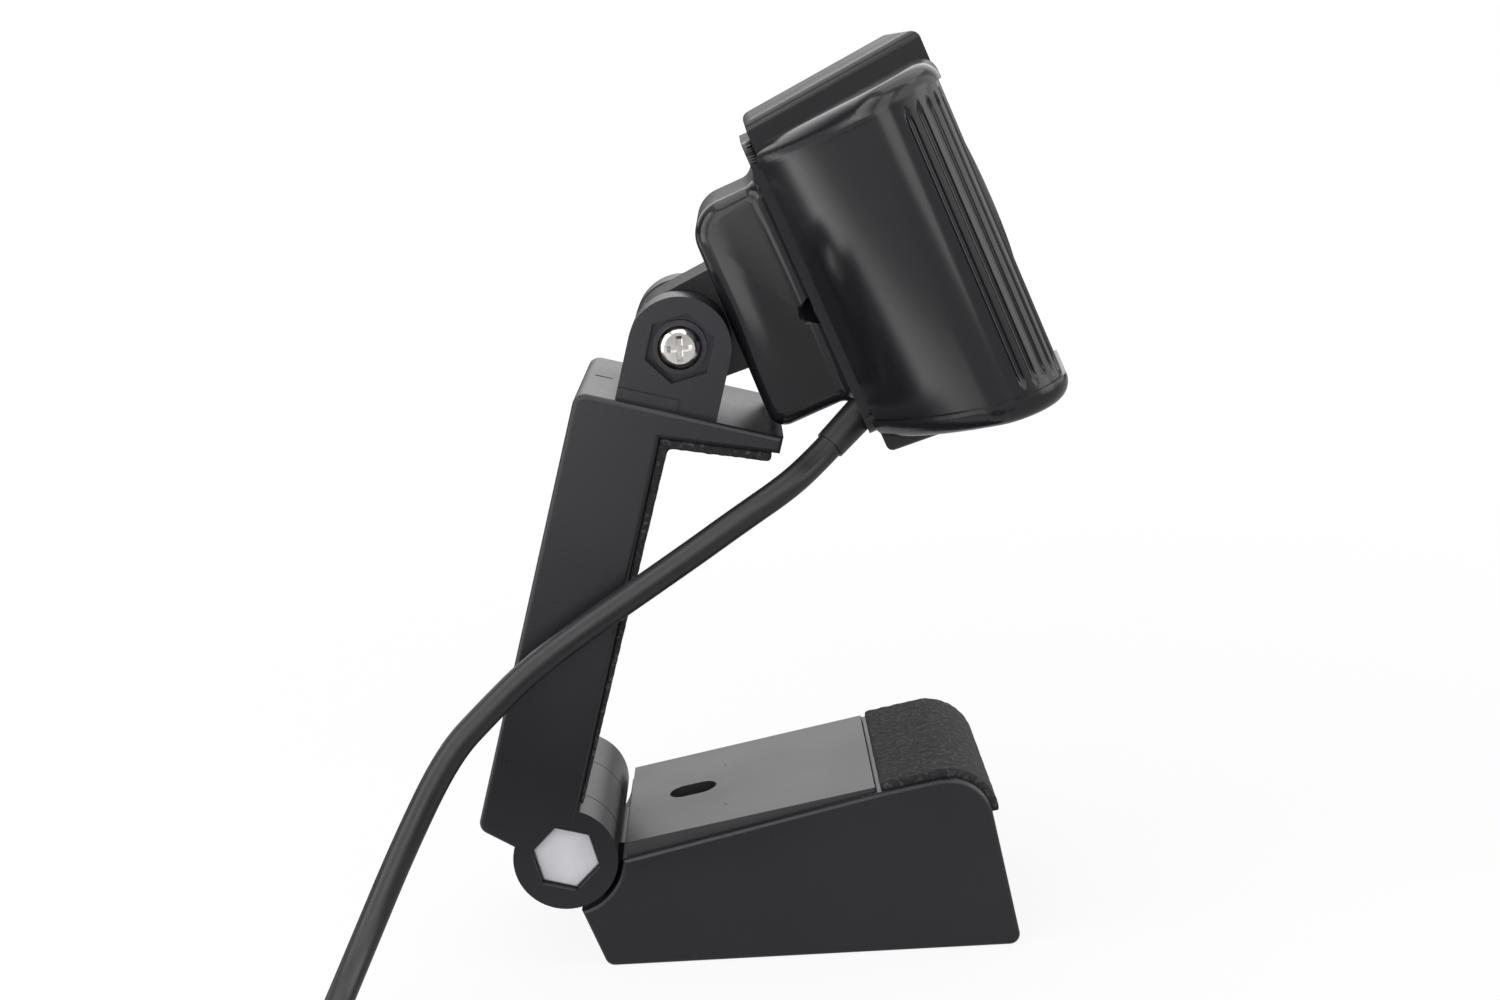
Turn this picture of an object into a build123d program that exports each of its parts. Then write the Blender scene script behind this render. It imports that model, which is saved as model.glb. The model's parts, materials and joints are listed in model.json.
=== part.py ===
# Webcam on a folding monitor clip that also stands on a desk.
# Millimetres. +X is the way the lens looks, +Z is up. The origin is the mouth of
# the tripod socket, in the middle of the underside of the base.
import os
from math import acos, atan2, cos, degrees, hypot, pi, radians, sin, sqrt, tan

from build123d import *

# Fold and tilt: where the two hinge axes are, and how the arm and head stand.
fold_setback = 33.0
fold_height = 15.6
arm_lean = 16.0
tilt_axis_up = 70.2
tilt_axis_forward = 0.2
head_lift = 21.0

# General clearances and walls.
running_clearance = 0.05
slip_clearance = 0.15
screw_clearance = 0.2
wall = 1.8

# Fold hinge.
barrel_radius = 7.0
barrel_half = 16.2
knuckle_gap = 0.2
base_knuckle_width = 13.9
base_knuckle_side = -2.35
trough_clearance = 0.6
bolt_radius = 2.5
bolt_head_flats = 8.0
bolt_head_height = 3.5
bolt_head_sink = 1.2
bolt_head_chamfer = 0.25
nut_height = 4.0
bolt_tail = 0.8

# Base.
base_rear = 28.4
base_front = 27.5
base_front_half = 17.0
base_wall = 2.2
base_floor = 2.6
front_lean = 10.0
base_corner_radius = 1.4
base_edge_radius = 0.6
crown_slope = 9.85
crown_start = 9.5
crown_start_height = 22.58
crown_radius = 6.0
trough_top_angle = -3.8
trough_bottom_angle = -78.0
neck_drop = 0.7
neck_height = 6.0
neck_length = 9.0

# Plate on top of the base.
plate_rear = 24.9
plate_front = 8.9
plate_rear_height = 17.1
plate_front_height = 23.0
plate_inset = 1.2
plate_edge_chamfer = 0.2
plate_lap = 0.8
notch_length = 6.6
notch_width = 4.4
notch_from_rear = 5.6
post_radius = 2.6
post_side = 8.0
post_back = 9.0

# Rubber pad over the front of the base.
base_pad_proud = 1.0
base_pad_sink = 0.6
base_pad_inset = 1.0
base_pad_tail = 0.4

# Tripod socket: quarter inch, twenty threads to the inch, at its tapping size.
socket_bore_radius = 2.55
socket_length = 9.0
insert_radius = 4.5
insert_boss_radius = 6.5
insert_boss_top = 10.5

# Small thread-forming screws.
screw_shank_radius = 1.0
screw_head_radius = 1.9
screw_head_height = 1.4
screw_head_sink = 0.2
screw_length = 8.0

# Arm.
arm_thickness = 11.8
arm_foot_growth = 0.65
arm_edge_radius = 0.6
arm_front = 0.2
arm_top = 62.2
arm_top_half = 17.0
arm_heel_up = 1.6
arm_heel_toe = 0.1
arm_corner_radius = 1.6
lip_reach = 15.6
lip_root = 3.6
lip_tip = 2.2
arm_wall = 2.0
arm_cavity_low = 13.0
arm_cavity_high = 56.0
arm_cover_thickness = 1.6
arm_cover_screw_low = 18.0
arm_cover_screw_high = 51.0
arm_post_radius = 2.8
arm_pad_thickness = 1.3
arm_pad_foot_thickness = 0.5
arm_pad_low = 7.8
arm_pad_inset = 0.6
arm_pad_end = 0.9
slit_length = 2.6
slit_width = 0.7
slit_depth = 0.8
slit_back = 9.0

# Ears and tilt hinge.
ear_radius = 6.65
ear_outside = 15.0
ear_inside = 7.7
ear_pocket_flats = 8.1
ear_pocket_depth = 2.0
ear_step_height = 1.5
ear_step_depth = 0.35
ear_step_length = 8.0
tilt_screw_radius = 1.5
tilt_head_radius = 2.85
tilt_head_height = 1.6
tilt_recess_radius = 1.5
tilt_recess_width = 0.62
tilt_recess_depth = 0.9
tilt_washer_radius = 3.5
tilt_washer_thickness = 0.5
tilt_nut_flats = 5.5
tilt_nut_height = 2.4
tilt_screw_tail = 0.6
friction_washer_thickness = 0.5
friction_washer_radius = 5.6

# Head: distances forward from the tilt axis, and up from it.
head_rear = 19.0
head_front = 42.9
core_half = 20.0
core_rear_half_height = 22.5
core_front_half_height = 24.4
core_rounding = 1.2
core_ledge = 1.9
wing_half = 40.0
wing_setback = 1.25
wing_rise = 0.078
wing_drop = 0.05
wing_nose_radius = 6.0
wing_flank_radius = 54.0
wing_low = -17.8
wing_high = 16.6
rim_low = -20.7
rim_high = 19.4
rim_rounding = 2.5
rim_proud = 0.4
rib_count = 6
rib_first_angle = 8.0
rib_step_angle = 14.5
rib_front_count = 3
rib_groove_radius = 0.4
rib_margin = 1.3
window_half_width = 5.5
window_half_height = 9.0

# Rear cover with its hump and tongue.
cover_thickness = 1.3
cover_half_width = 17.0
cover_half_height = 20.2
cover_corner = 3.0
hump_rear = 7.05
hump_draft = 1.75
hump_half_width = 14.0
hump_high = 14.9
hump_low = -15.2
hump_top_radius = 4.5
hump_bottom_radius = 2.4
hump_side_radius = 2.0
hump_foot_radius = 2.0
hump_wall = 2.2
scallop_radius = 2.0
scallop_out = 0.8
scallop_up = -2.6
scallop_length = 2.2
scallop_taper = 30.0
tongue_radius = 6.5
tongue_half_height = 7.0
cover_boss_side = 9.0
cover_boss_up = 9.0
cover_boss_radius = 2.4

# Front panel and optics.
panel_thickness = 1.6
aperture_radius = 8.2
lens_ring_radius = 11.0
lens_ring_proud = 1.2
lens_ring_spigot = 0.9
lens_ring_chamfer = 0.5
lens_barrel_radius = 7.0
lens_barrel_front = 41.0
lens_barrel_length = 10.5
lens_thread_radius = 6.0
lens_thread_length = 6.0
front_lens_radius = 5.6
front_lens_thickness = 1.8
front_lens_crown = 0.9
lens_bore_radius = 3.0
holder_half = 8.5
holder_base = 3.0
holder_web = 0.8
holder_tube_radius = 7.6
holder_height = 8.5
holder_pocket_half = 5.0
filter_half = 4.0
filter_thickness = 0.4
sensor_half = 3.6
sensor_thickness = 1.0

# Circuit board and what sits on it.
board_rear = 26.0
board_thickness = 1.2
board_half_width = 15.0
board_half_height = 18.0
board_post_side = 12.0
board_post_up = 15.0
board_post_radius = 2.4
header_width = 9.0
header_height = 5.0
header_depth = 3.6
header_drop = 9.0
led_side = 12.6
led_up = 8.0
led_half = 1.2
led_height = 0.8
light_pipe_radius = 1.0
light_pipe_flange = 1.8
microphone_radius = 3.0
microphone_length = 2.6
microphone_boot_wall = 1.1
microphone_boot_floor = 1.0
microphone_out = 8.0
web_forward = 33.0
web_thickness = 1.2
web_half_height = 8.0
tab_half_height = 3.0
tab_length = 3.0

# USB lead.
cord_diameter = 3.6
exit_drop = 20.0
exit_swing = 20.0
exit_up = -17.4
exit_side = -13.0
relief_length = 6.0
relief_first_run = 4.0
relief_root_radius = 2.3
relief_end_radius = 2.05
relief_spigot_radius = 2.0
relief_collar_radius = 2.9
relief_collar_length = 1.2
coil_center = (-34.0, -82.0)
coil_radius = 29.0
coil_pitch = 4.1
coil_layer_step = 4.1
coil_half_turns = 9
coil_lift = 1.1
tie_thickness = 0.8
tie_width = 6.0
tie_clearance = 0.3

# USB plug.
plug_start_x = -3.0
plug_aside = 2.0
plug_body_length = 18.0
plug_body_width = 15.0
plug_body_height = 7.8
plug_body_rounding = 1.2
plug_end_rounding = 0.8
plug_nose_length = 6.0
plug_nose_radius = 2.9
plug_shell_length = 18.7
plug_shell_width = 12.0
plug_shell_height = 4.5
plug_shell_wall = 0.35
plug_shell_root = 6.0
plug_tongue_height = 1.9
plug_window = 2.2
plug_window_from_end = 6.5

os.makedirs("parts", exist_ok=True)


class Frame:
    """Planes of a piece that leans in the XZ plane: seen from the side, front and top."""

    def __init__(self, origin, lean):
        self.forward = Vector(cos(radians(lean)), 0, sin(radians(lean)))
        self.up = Vector(-sin(radians(lean)), 0, cos(radians(lean)))
        self.origin = Vector(*origin)

    def point(self, forward, side, up):
        return self.origin + self.forward * forward + Vector(0, side, 0) + self.up * up

    def side(self, at=0.0):
        """Local x forward and y up; extruding goes towards -Y."""
        return Plane(self.point(0, at, 0), x_dir=self.forward, z_dir=(0, -1, 0))

    def front(self, at=0.0):
        """Local x to the left hand, +Y, and y up; extruding goes forward."""
        return Plane(self.point(at, 0, 0), x_dir=(0, 1, 0), z_dir=self.forward)

    def top(self, at=0.0):
        """Local x forward and y along +Y; extruding goes up."""
        return Plane(self.point(0, 0, at), x_dir=self.forward, z_dir=self.up)


def save(builder, name):
    builder.part.label = name
    export_step(builder.part, f"parts/{name}.step")


def corner_radius(flats):
    """Corner radius of a hexagon from its width across flats."""
    return flats / sqrt(3)


fold_axis = (-fold_setback, 0, fold_height)
base = Frame((0, 0, 0), 0)
arm = Frame(fold_axis, -arm_lean)
tilt_axis = arm.point(tilt_axis_forward, 0, tilt_axis_up)
head = Frame(tilt_axis, head_lift)


# Base shell

def base_half(x):
    """Half width of the base, which narrows towards the hinge."""
    share = (x + fold_setback) / (base_front + fold_setback)
    return barrel_half + (base_front_half - barrel_half) * share


base_widest_half = max(base_front_half, barrel_half)

crown_along = Vector(cos(radians(crown_slope)), sin(radians(crown_slope)))
front_along = Vector(sin(radians(front_lean)), -cos(radians(front_lean)))
crown_normal = Vector(-crown_along.Y, crown_along.X)
front_normal = Vector(-front_along.Y, front_along.X)
crown_reach = (
    (base_front - crown_start) * cos(radians(front_lean))
    - crown_start_height * sin(radians(front_lean))
) / cos(radians(crown_slope - front_lean))
base_corner = Vector(crown_start, crown_start_height) + crown_along * crown_reach
crown_turn = radians(90 + crown_slope - front_lean)
crown_tangent = crown_radius * tan(crown_turn / 2)


def on_crown(back, out):
    """A point this far back from the front corner along the crown, and this far outside it."""
    return base_corner - crown_along * back + crown_normal * out


def on_front(down, out):
    """A point this far down the front from the corner, and this far outside it."""
    return base_corner + front_along * down + front_normal * out


def on_trough(angle):
    reach = barrel_radius + trough_clearance
    turn = radians(angle)
    return (-fold_setback + reach * cos(turn), fold_height + reach * sin(turn))


def rim_height(x):
    """Top edge of the base's side walls behind the pad."""
    rear_x, rear_height = on_trough(trough_top_angle)
    rise = (crown_start_height - rear_height) / (crown_start - rear_x)
    return rear_height + (x - rear_x) * rise


def base_plan(inset, rear, front):
    """Corners of the base's plan, drawn in by an inset."""
    return [
        (rear, -base_half(rear) + inset),
        (front, -base_half(front) + inset),
        (front, base_half(front) - inset),
        (rear, base_half(rear) - inset),
    ]


plan_rear = -fold_setback - barrel_radius
plan_front = base_front + base_front_half
pad_back = crown_reach
pad_down = crown_tangent + base_pad_tail


def pad_outline(inner, outer):
    """Outline of a strip that wraps the front of the base, between two offsets."""
    turn_center = on_crown(crown_tangent, -crown_radius)
    middle = (crown_normal + front_normal).normalized()
    with BuildLine() as outline:
        Line(on_crown(pad_back, inner), on_crown(crown_tangent, inner))
        ThreePointArc(
            on_crown(crown_tangent, inner),
            turn_center + middle * (crown_radius + inner),
            on_front(crown_tangent, inner),
        )
        Polyline(
            on_front(crown_tangent, inner),
            on_front(pad_down, inner),
            on_front(pad_down, outer),
            on_front(crown_tangent, outer),
        )
        ThreePointArc(
            on_front(crown_tangent, outer),
            turn_center + middle * (crown_radius + outer),
            on_crown(crown_tangent, outer),
        )
        Polyline(
            on_crown(crown_tangent, outer),
            on_crown(pad_back, outer),
            on_crown(pad_back, inner),
        )
    return outline.line


roof_back = on_crown(crown_reach, -base_pad_sink - base_wall)
roof_front = on_front(crown_tangent, -base_wall - base_pad_sink)
cavity_rear = -plate_rear + base_wall + plate_lap
with BuildPart() as base_cavity:
    with BuildSketch(base.side(base_widest_half)):
        with BuildLine():
            Polyline(
                (cavity_rear, base_floor),
                (base_front - base_wall - base_floor * tan(radians(front_lean)), base_floor),
                roof_front,
                on_crown(crown_tangent, -base_wall - base_pad_sink),
                roof_back,
                (plate_front - plate_lap, roof_back.Y),
                (plate_front - plate_lap, plate_front_height + base_wall),
                (cavity_rear, plate_front_height),
                close=True,
            )
        make_face()
    extrude(amount=2 * base_widest_half)
    with BuildSketch(base.top(-barrel_radius)):
        with BuildLine():
            Polyline(base_plan(base_wall + plate_lap, plan_rear, plan_front), close=True)
        make_face()
    extrude(amount=fold_height * 3, mode=Mode.INTERSECT)

with BuildPart() as pad_seat:
    with BuildSketch(base.side(base_widest_half)):
        add(pad_outline(-base_pad_sink, base_pad_proud))
        make_face()
    extrude(amount=2 * base_widest_half)
    with BuildSketch(base.top(-barrel_radius)):
        with BuildLine():
            Polyline(base_plan(base_pad_inset, plan_rear, plan_front), close=True)
        make_face()
    extrude(amount=fold_height * 3, mode=Mode.INTERSECT)

post_x = -post_back
base_knuckle_end = base_knuckle_side + base_knuckle_width / 2
with BuildPart() as base_shell:
    with BuildSketch(base.side(base_widest_half)):
        with BuildLine():
            Polyline(
                on_trough(trough_bottom_angle),
                (-base_rear, 0),
                (base_front, 0),
                on_front(crown_tangent, 0),
            )
            ThreePointArc(
                on_front(crown_tangent, 0),
                on_crown(crown_tangent, -crown_radius)
                + (crown_normal + front_normal).normalized() * crown_radius,
                on_crown(crown_tangent, 0),
            )
            Polyline(
                on_crown(crown_tangent, 0),
                (crown_start, crown_start_height),
                on_trough(trough_top_angle),
            )
            ThreePointArc(
                on_trough(trough_top_angle),
                on_trough((trough_top_angle + trough_bottom_angle) / 2),
                on_trough(trough_bottom_angle),
            )
        make_face()
        fillet(vertices().group_by(Axis.Y)[0], base_corner_radius)
    extrude(amount=2 * base_widest_half)
    with BuildSketch(base.top(-barrel_radius)):
        with BuildLine():
            Polyline(base_plan(0, plan_rear, plan_front), close=True)
        make_face()
    extrude(amount=fold_height * 3, mode=Mode.INTERSECT)
    sides = faces().sort_by(Axis.Y)
    fillet(sides[0].edges() + sides[-1].edges(), base_edge_radius)
    add(base_cavity.part, mode=Mode.SUBTRACT)
    add(pad_seat.part, mode=Mode.SUBTRACT)
    # Middle knuckle of the fold hinge, on its neck.
    with BuildSketch(base.side(base_knuckle_end)):
        with Locations((-fold_setback, fold_height)):
            Circle(barrel_radius)
        with Locations((-fold_setback, fold_height - neck_drop)):
            Rectangle(neck_length, neck_height, align=(Align.MIN, Align.MAX))
    extrude(amount=base_knuckle_width)
    with BuildSketch(base.side(base_knuckle_end)):
        with Locations((-fold_setback, fold_height)):
            Circle(bolt_radius + running_clearance)
    extrude(amount=base_knuckle_width, mode=Mode.SUBTRACT)
    # Boss of the tripod socket.
    with BuildSketch(base.top(0)):
        Circle(insert_boss_radius)
    extrude(amount=insert_boss_top)
    with BuildSketch(base.top(0)):
        Circle(insert_radius)
    extrude(amount=socket_length, mode=Mode.SUBTRACT)
    # Holes for the plate's screws, with sunk heads.
    with BuildSketch(base.top(0)):
        with Locations((post_x, -post_side), (post_x, post_side)):
            Circle(screw_head_radius + screw_clearance)
    extrude(amount=screw_head_sink + screw_head_height, mode=Mode.SUBTRACT)
    with BuildSketch(base.top(0)):
        with Locations((post_x, -post_side), (post_x, post_side)):
            Circle(screw_shank_radius + screw_clearance)
    extrude(amount=base_floor, mode=Mode.SUBTRACT)
save(base_shell, "base_shell")


# Plate on the base

def plate_height(x):
    share = (x + plate_rear) / (plate_front + plate_rear)
    return plate_rear_height + (plate_front_height - plate_rear_height) * share


with BuildPart() as base_plate:
    with BuildSketch(base.side(base_widest_half)):
        with BuildLine():
            Polyline(
                (-plate_rear, rim_height(-plate_rear)),
                (plate_front, rim_height(plate_front)),
                (plate_front, plate_front_height),
                (-plate_rear, plate_rear_height),
                close=True,
            )
        make_face()
    extrude(amount=2 * base_widest_half)
    with BuildSketch(base.top(0)):
        with BuildLine():
            Polyline(base_plan(plate_inset, plan_rear, plan_front), close=True)
        make_face()
    extrude(amount=fold_height * 3, mode=Mode.INTERSECT)
    # Lifting notch near the hinge.
    with BuildSketch(base.top(0)):
        with Locations((-plate_rear + notch_from_rear + notch_length / 2, 0)):
            SlotOverall(notch_length, notch_width)
    extrude(amount=fold_height * 3, mode=Mode.SUBTRACT)
    chamfer(faces().sort_by(Axis.Z)[-1].edges(), plate_edge_chamfer)
    # Screw posts that reach the floor of the base.
    with BuildSketch(base.top(base_floor)):
        with Locations((post_x, -post_side), (post_x, post_side)):
            Circle(post_radius)
    extrude(amount=rim_height(post_x) + wall / 2 - base_floor)
    with BuildSketch(base.top(base_floor)):
        with Locations((post_x, -post_side), (post_x, post_side)):
            Circle(screw_shank_radius)
    extrude(amount=screw_length, mode=Mode.SUBTRACT)
save(base_plate, "base_plate")

with BuildPart() as base_plate_screws:
    with BuildSketch(base.top(screw_head_sink)):
        with Locations((post_x, -post_side), (post_x, post_side)):
            Circle(screw_head_radius)
    extrude(amount=screw_head_height)
    with BuildSketch(base.top(screw_head_sink + screw_head_height)):
        with Locations((post_x, -post_side), (post_x, post_side)):
            Circle(screw_shank_radius)
    extrude(amount=screw_length - screw_head_height)
save(base_plate_screws, "base_plate_screws")

with BuildPart() as base_pad:
    add(pad_seat.part)
save(base_pad, "base_pad")

with BuildPart() as tripod_insert:
    with BuildSketch(base.top(0)):
        Circle(insert_radius)
        Circle(socket_bore_radius, mode=Mode.SUBTRACT)
    extrude(amount=socket_length)
save(tripod_insert, "tripod_insert")


# Arm

arm_back = arm_front - arm_thickness
arm_foot_back = arm_back - arm_foot_growth
arm_inner_half = barrel_half - arm_wall


def lip_underside(forward):
    """Height of the lip's underside, which rises towards its tip."""
    share = (forward - arm_front) / (lip_reach - arm_front)
    return arm_top - lip_root + (lip_root - lip_tip) * share


def arm_half(up):
    """Half width of the arm, which widens upwards from the hinge."""
    return barrel_half + (arm_top_half - barrel_half) * up / arm_top


arm_widest_half = max(arm_top_half, barrel_half)

def arm_face(inset, low, high):
    """Corners of the arm's front view, drawn in by an inset."""
    return [
        (-arm_half(low) + inset, low),
        (arm_half(low) - inset, low),
        (arm_half(high) - inset, high),
        (-arm_half(high) + inset, high),
    ]


ear_rear = tilt_axis_forward - ear_radius
with BuildPart() as arm_shell:
    with BuildSketch(arm.side(arm_widest_half)):
        with BuildLine():
            Polyline(
                (arm_foot_back, arm_heel_up),
                (-barrel_radius, arm_heel_toe),
                (arm_front, 0),
                (arm_front, lip_underside(arm_front)),
                (lip_reach, lip_underside(lip_reach)),
                (lip_reach, arm_top),
                (arm_back, arm_top),
                close=True,
            )
        make_face()
        fillet(vertices().sort_by(Axis.X)[:2], arm_corner_radius)
    extrude(amount=2 * arm_widest_half)
    with BuildSketch(arm.front(arm_foot_back)):
        with BuildLine():
            Polyline(
                (-barrel_half, -barrel_radius),
                (barrel_half, -barrel_radius),
                (barrel_half, 0),
                (arm_top_half, arm_top),
                (-arm_top_half, arm_top),
                (-barrel_half, 0),
                close=True,
            )
        make_face()
    extrude(amount=arm_thickness + arm_foot_growth + lip_reach, mode=Mode.INTERSECT)
    sides = faces().sort_by(Axis.Y)
    fillet(sides[0].edges() + sides[-1].edges(), arm_edge_radius)
    # Outer knuckles, with the middle cut away for the base's knuckle.
    with BuildSketch(arm.side(barrel_half)):
        Circle(barrel_radius)
    extrude(amount=2 * barrel_half)
    with BuildSketch(arm.side(base_knuckle_end + knuckle_gap)):
        Circle(barrel_radius + trough_clearance)
    extrude(amount=base_knuckle_width + 2 * knuckle_gap, mode=Mode.SUBTRACT)
    with BuildSketch(arm.side(barrel_half)):
        Circle(bolt_radius + running_clearance)
    extrude(amount=2 * barrel_half, mode=Mode.SUBTRACT)
    with BuildSketch(arm.side(-barrel_half + bolt_head_sink + bolt_head_height)):
        RegularPolygon(corner_radius(bolt_head_flats + slip_clearance), 6)
    extrude(
        amount=bolt_head_sink + bolt_head_height + arm_widest_half - barrel_half, mode=Mode.SUBTRACT
    )
    with BuildSketch(arm.side(arm_widest_half)):
        RegularPolygon(corner_radius(bolt_head_flats + slip_clearance), 6)
    extrude(amount=arm_widest_half - barrel_half + bolt_tail + nut_height, mode=Mode.SUBTRACT)
    # Hollow behind the front cover, and the cover's seat.
    with BuildSketch(arm.front(arm_front)):
        with BuildLine():
            Polyline(arm_face(arm_wall, arm_cavity_low, arm_cavity_high), close=True)
        make_face()
    extrude(amount=-(arm_thickness - arm_wall), mode=Mode.SUBTRACT)
    with BuildSketch(arm.front(arm_back + arm_wall)):
        with Locations((0, arm_cover_screw_low), (0, arm_cover_screw_high)):
            Circle(arm_post_radius)
    extrude(amount=arm_thickness - arm_wall - arm_cover_thickness)
    with BuildSketch(arm.front(arm_front - arm_cover_thickness)):
        with Locations((0, arm_cover_screw_low), (0, arm_cover_screw_high)):
            Circle(screw_shank_radius)
    extrude(amount=-screw_length, mode=Mode.SUBTRACT)
    # Ears of the tilt hinge.
    for low, high in ((-ear_outside, -ear_inside), (ear_inside, ear_outside)):
        with BuildSketch(arm.side(high)):
            with Locations((tilt_axis_forward, tilt_axis_up)):
                Circle(ear_radius)
            with Locations((tilt_axis_forward, tilt_axis_up)):
                Rectangle(
                    2 * ear_radius,
                    tilt_axis_up - arm_top + lip_tip / 2,
                    align=(Align.CENTER, Align.MAX),
                )
        extrude(amount=high - low)
        with BuildSketch(arm.side(high)):
            with Locations((tilt_axis_forward, tilt_axis_up)):
                Circle(tilt_screw_radius + running_clearance)
        extrude(amount=high - low, mode=Mode.SUBTRACT)
    # Step at the foot of each ear, where it stands on the wider arm.
    for outside in (-ear_outside - ear_step_depth, ear_outside):
        with BuildSketch(arm.side(outside + ear_step_depth)):
            with Locations((ear_rear, arm_top)):
                Rectangle(
                    ear_step_length, 2 * ear_step_height, align=(Align.MIN, Align.CENTER)
                )
        extrude(amount=ear_step_depth)
    with BuildSketch(arm.side(-ear_outside + ear_pocket_depth)):
        with Locations((tilt_axis_forward, tilt_axis_up)):
            RegularPolygon(corner_radius(ear_pocket_flats), 6, rotation=30)
    extrude(amount=ear_pocket_depth, mode=Mode.SUBTRACT)
    with BuildSketch(arm.side(ear_outside)):
        with Locations((tilt_axis_forward, tilt_axis_up)):
            RegularPolygon(corner_radius(tilt_nut_flats + slip_clearance), 6, rotation=30)
    extrude(amount=tilt_nut_height + tilt_screw_tail, mode=Mode.SUBTRACT)
    # Moulding slit in the top, behind the ears.
    with BuildSketch(arm.top(arm_top)):
        with Locations((tilt_axis_forward - slit_back, 0)):
            SlotOverall(slit_length, slit_width)
    extrude(amount=-slit_depth, mode=Mode.SUBTRACT)
save(arm_shell, "arm_shell")

with BuildPart() as arm_cover:
    with BuildSketch(arm.front(arm_front - arm_cover_thickness)):
        with BuildLine():
            Polyline(
                arm_face(
                    arm_wall + slip_clearance,
                    arm_cavity_low + slip_clearance,
                    arm_cavity_high - slip_clearance,
                ),
                close=True,
            )
        make_face()
        with Locations((0, arm_cover_screw_low), (0, arm_cover_screw_high)):
            Circle(screw_shank_radius + screw_clearance, mode=Mode.SUBTRACT)
    extrude(amount=arm_cover_thickness)
    with BuildSketch(arm.front(arm_front)):
        with Locations((0, arm_cover_screw_low), (0, arm_cover_screw_high)):
            Circle(screw_head_radius + screw_clearance)
    extrude(amount=-arm_cover_thickness / 2, mode=Mode.SUBTRACT)
save(arm_cover, "arm_cover")

with BuildPart() as arm_cover_screws:
    with BuildSketch(arm.front(arm_front)):
        with Locations((0, arm_cover_screw_low), (0, arm_cover_screw_high)):
            Circle(screw_head_radius)
    extrude(amount=-arm_cover_thickness / 2)
    with BuildSketch(arm.front(arm_front - arm_cover_thickness / 2)):
        with Locations((0, arm_cover_screw_low), (0, arm_cover_screw_high)):
            Circle(screw_shank_radius)
    extrude(amount=-(screw_length - screw_head_height))
save(arm_cover_screws, "arm_cover_screws")

pad_tip = lip_reach - arm_pad_end
with BuildPart() as arm_pad:
    with BuildSketch(arm.side(arm_widest_half)):
        with BuildLine():
            Polyline(
                (arm_front, arm_pad_low),
                (arm_front + arm_pad_foot_thickness, arm_pad_low),
                (
                    arm_front + arm_pad_thickness,
                    lip_underside(arm_front + arm_pad_thickness) - arm_pad_thickness,
                ),
                (pad_tip, lip_underside(pad_tip) - arm_pad_thickness),
                (pad_tip, lip_underside(pad_tip)),
                (arm_front, lip_underside(arm_front)),
                close=True,
            )
        make_face()
    extrude(amount=2 * arm_widest_half)
    with BuildSketch(arm.front(arm_front)):
        with BuildLine():
            Polyline(arm_face(arm_pad_inset, 0, arm_top), close=True)
        make_face()
    extrude(amount=lip_reach, mode=Mode.INTERSECT)
save(arm_pad, "arm_pad")


# Fold hinge bolt and nut

nut_inside = barrel_half - bolt_tail - nut_height
head_inside = -barrel_half + bolt_head_sink + bolt_head_height
with BuildPart() as hinge_bolt:
    with BuildSketch(arm.side(head_inside)):
        RegularPolygon(corner_radius(bolt_head_flats), 6)
    extrude(amount=bolt_head_height)
    chamfer(faces().sort_by(Axis.Y)[0].edges(), bolt_head_chamfer)
    with BuildSketch(arm.side(barrel_half - bolt_tail / 2)):
        Circle(bolt_radius)
    extrude(amount=barrel_half - bolt_tail / 2 - head_inside)
save(hinge_bolt, "hinge_bolt")

with BuildPart() as hinge_nut:
    with BuildSketch(arm.side(nut_inside + nut_height)):
        RegularPolygon(corner_radius(bolt_head_flats), 6)
        Circle(bolt_radius + running_clearance, mode=Mode.SUBTRACT)
    extrude(amount=nut_height)
save(hinge_nut, "hinge_nut")


# Tilt hinge screw, washers and nut

pocket_floor = -ear_outside + ear_pocket_depth
tilt_head_seat = pocket_floor - tilt_washer_thickness
tilt_nut_seat = ear_outside - tilt_screw_tail - tilt_nut_height
tilt_center = (tilt_axis_forward, tilt_axis_up)
with BuildPart() as tilt_screw:
    with BuildSketch(arm.side(tilt_head_seat)):
        with Locations(tilt_center):
            Circle(tilt_head_radius)
    extrude(amount=tilt_head_height)
    fillet(faces().sort_by(Axis.Y)[0].edges(), tilt_head_height * 0.45)
    with BuildSketch(arm.side(tilt_head_seat - tilt_head_height + tilt_recess_depth)):
        with Locations(tilt_center):
            Rectangle(2 * tilt_recess_radius, tilt_recess_width, rotation=25)
            Rectangle(tilt_recess_width, 2 * tilt_recess_radius, rotation=25)
    extrude(amount=tilt_recess_depth, mode=Mode.SUBTRACT)
    with BuildSketch(arm.side(ear_outside - tilt_screw_tail / 2)):
        with Locations(tilt_center):
            Circle(tilt_screw_radius)
    extrude(amount=ear_outside - tilt_screw_tail / 2 - tilt_head_seat)
save(tilt_screw, "tilt_screw")

with BuildPart() as tilt_screw_washer:
    with BuildSketch(arm.side(pocket_floor)):
        with Locations(tilt_center):
            Circle(tilt_washer_radius)
            Circle(tilt_screw_radius + running_clearance, mode=Mode.SUBTRACT)
    extrude(amount=tilt_washer_thickness)
save(tilt_screw_washer, "tilt_screw_washer")

with BuildPart() as tilt_nut:
    with BuildSketch(arm.side(tilt_nut_seat + tilt_nut_height)):
        with Locations(tilt_center):
            RegularPolygon(corner_radius(tilt_nut_flats), 6, rotation=30)
            Circle(tilt_screw_radius + running_clearance, mode=Mode.SUBTRACT)
    extrude(amount=tilt_nut_height)
save(tilt_nut, "tilt_nut")

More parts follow.
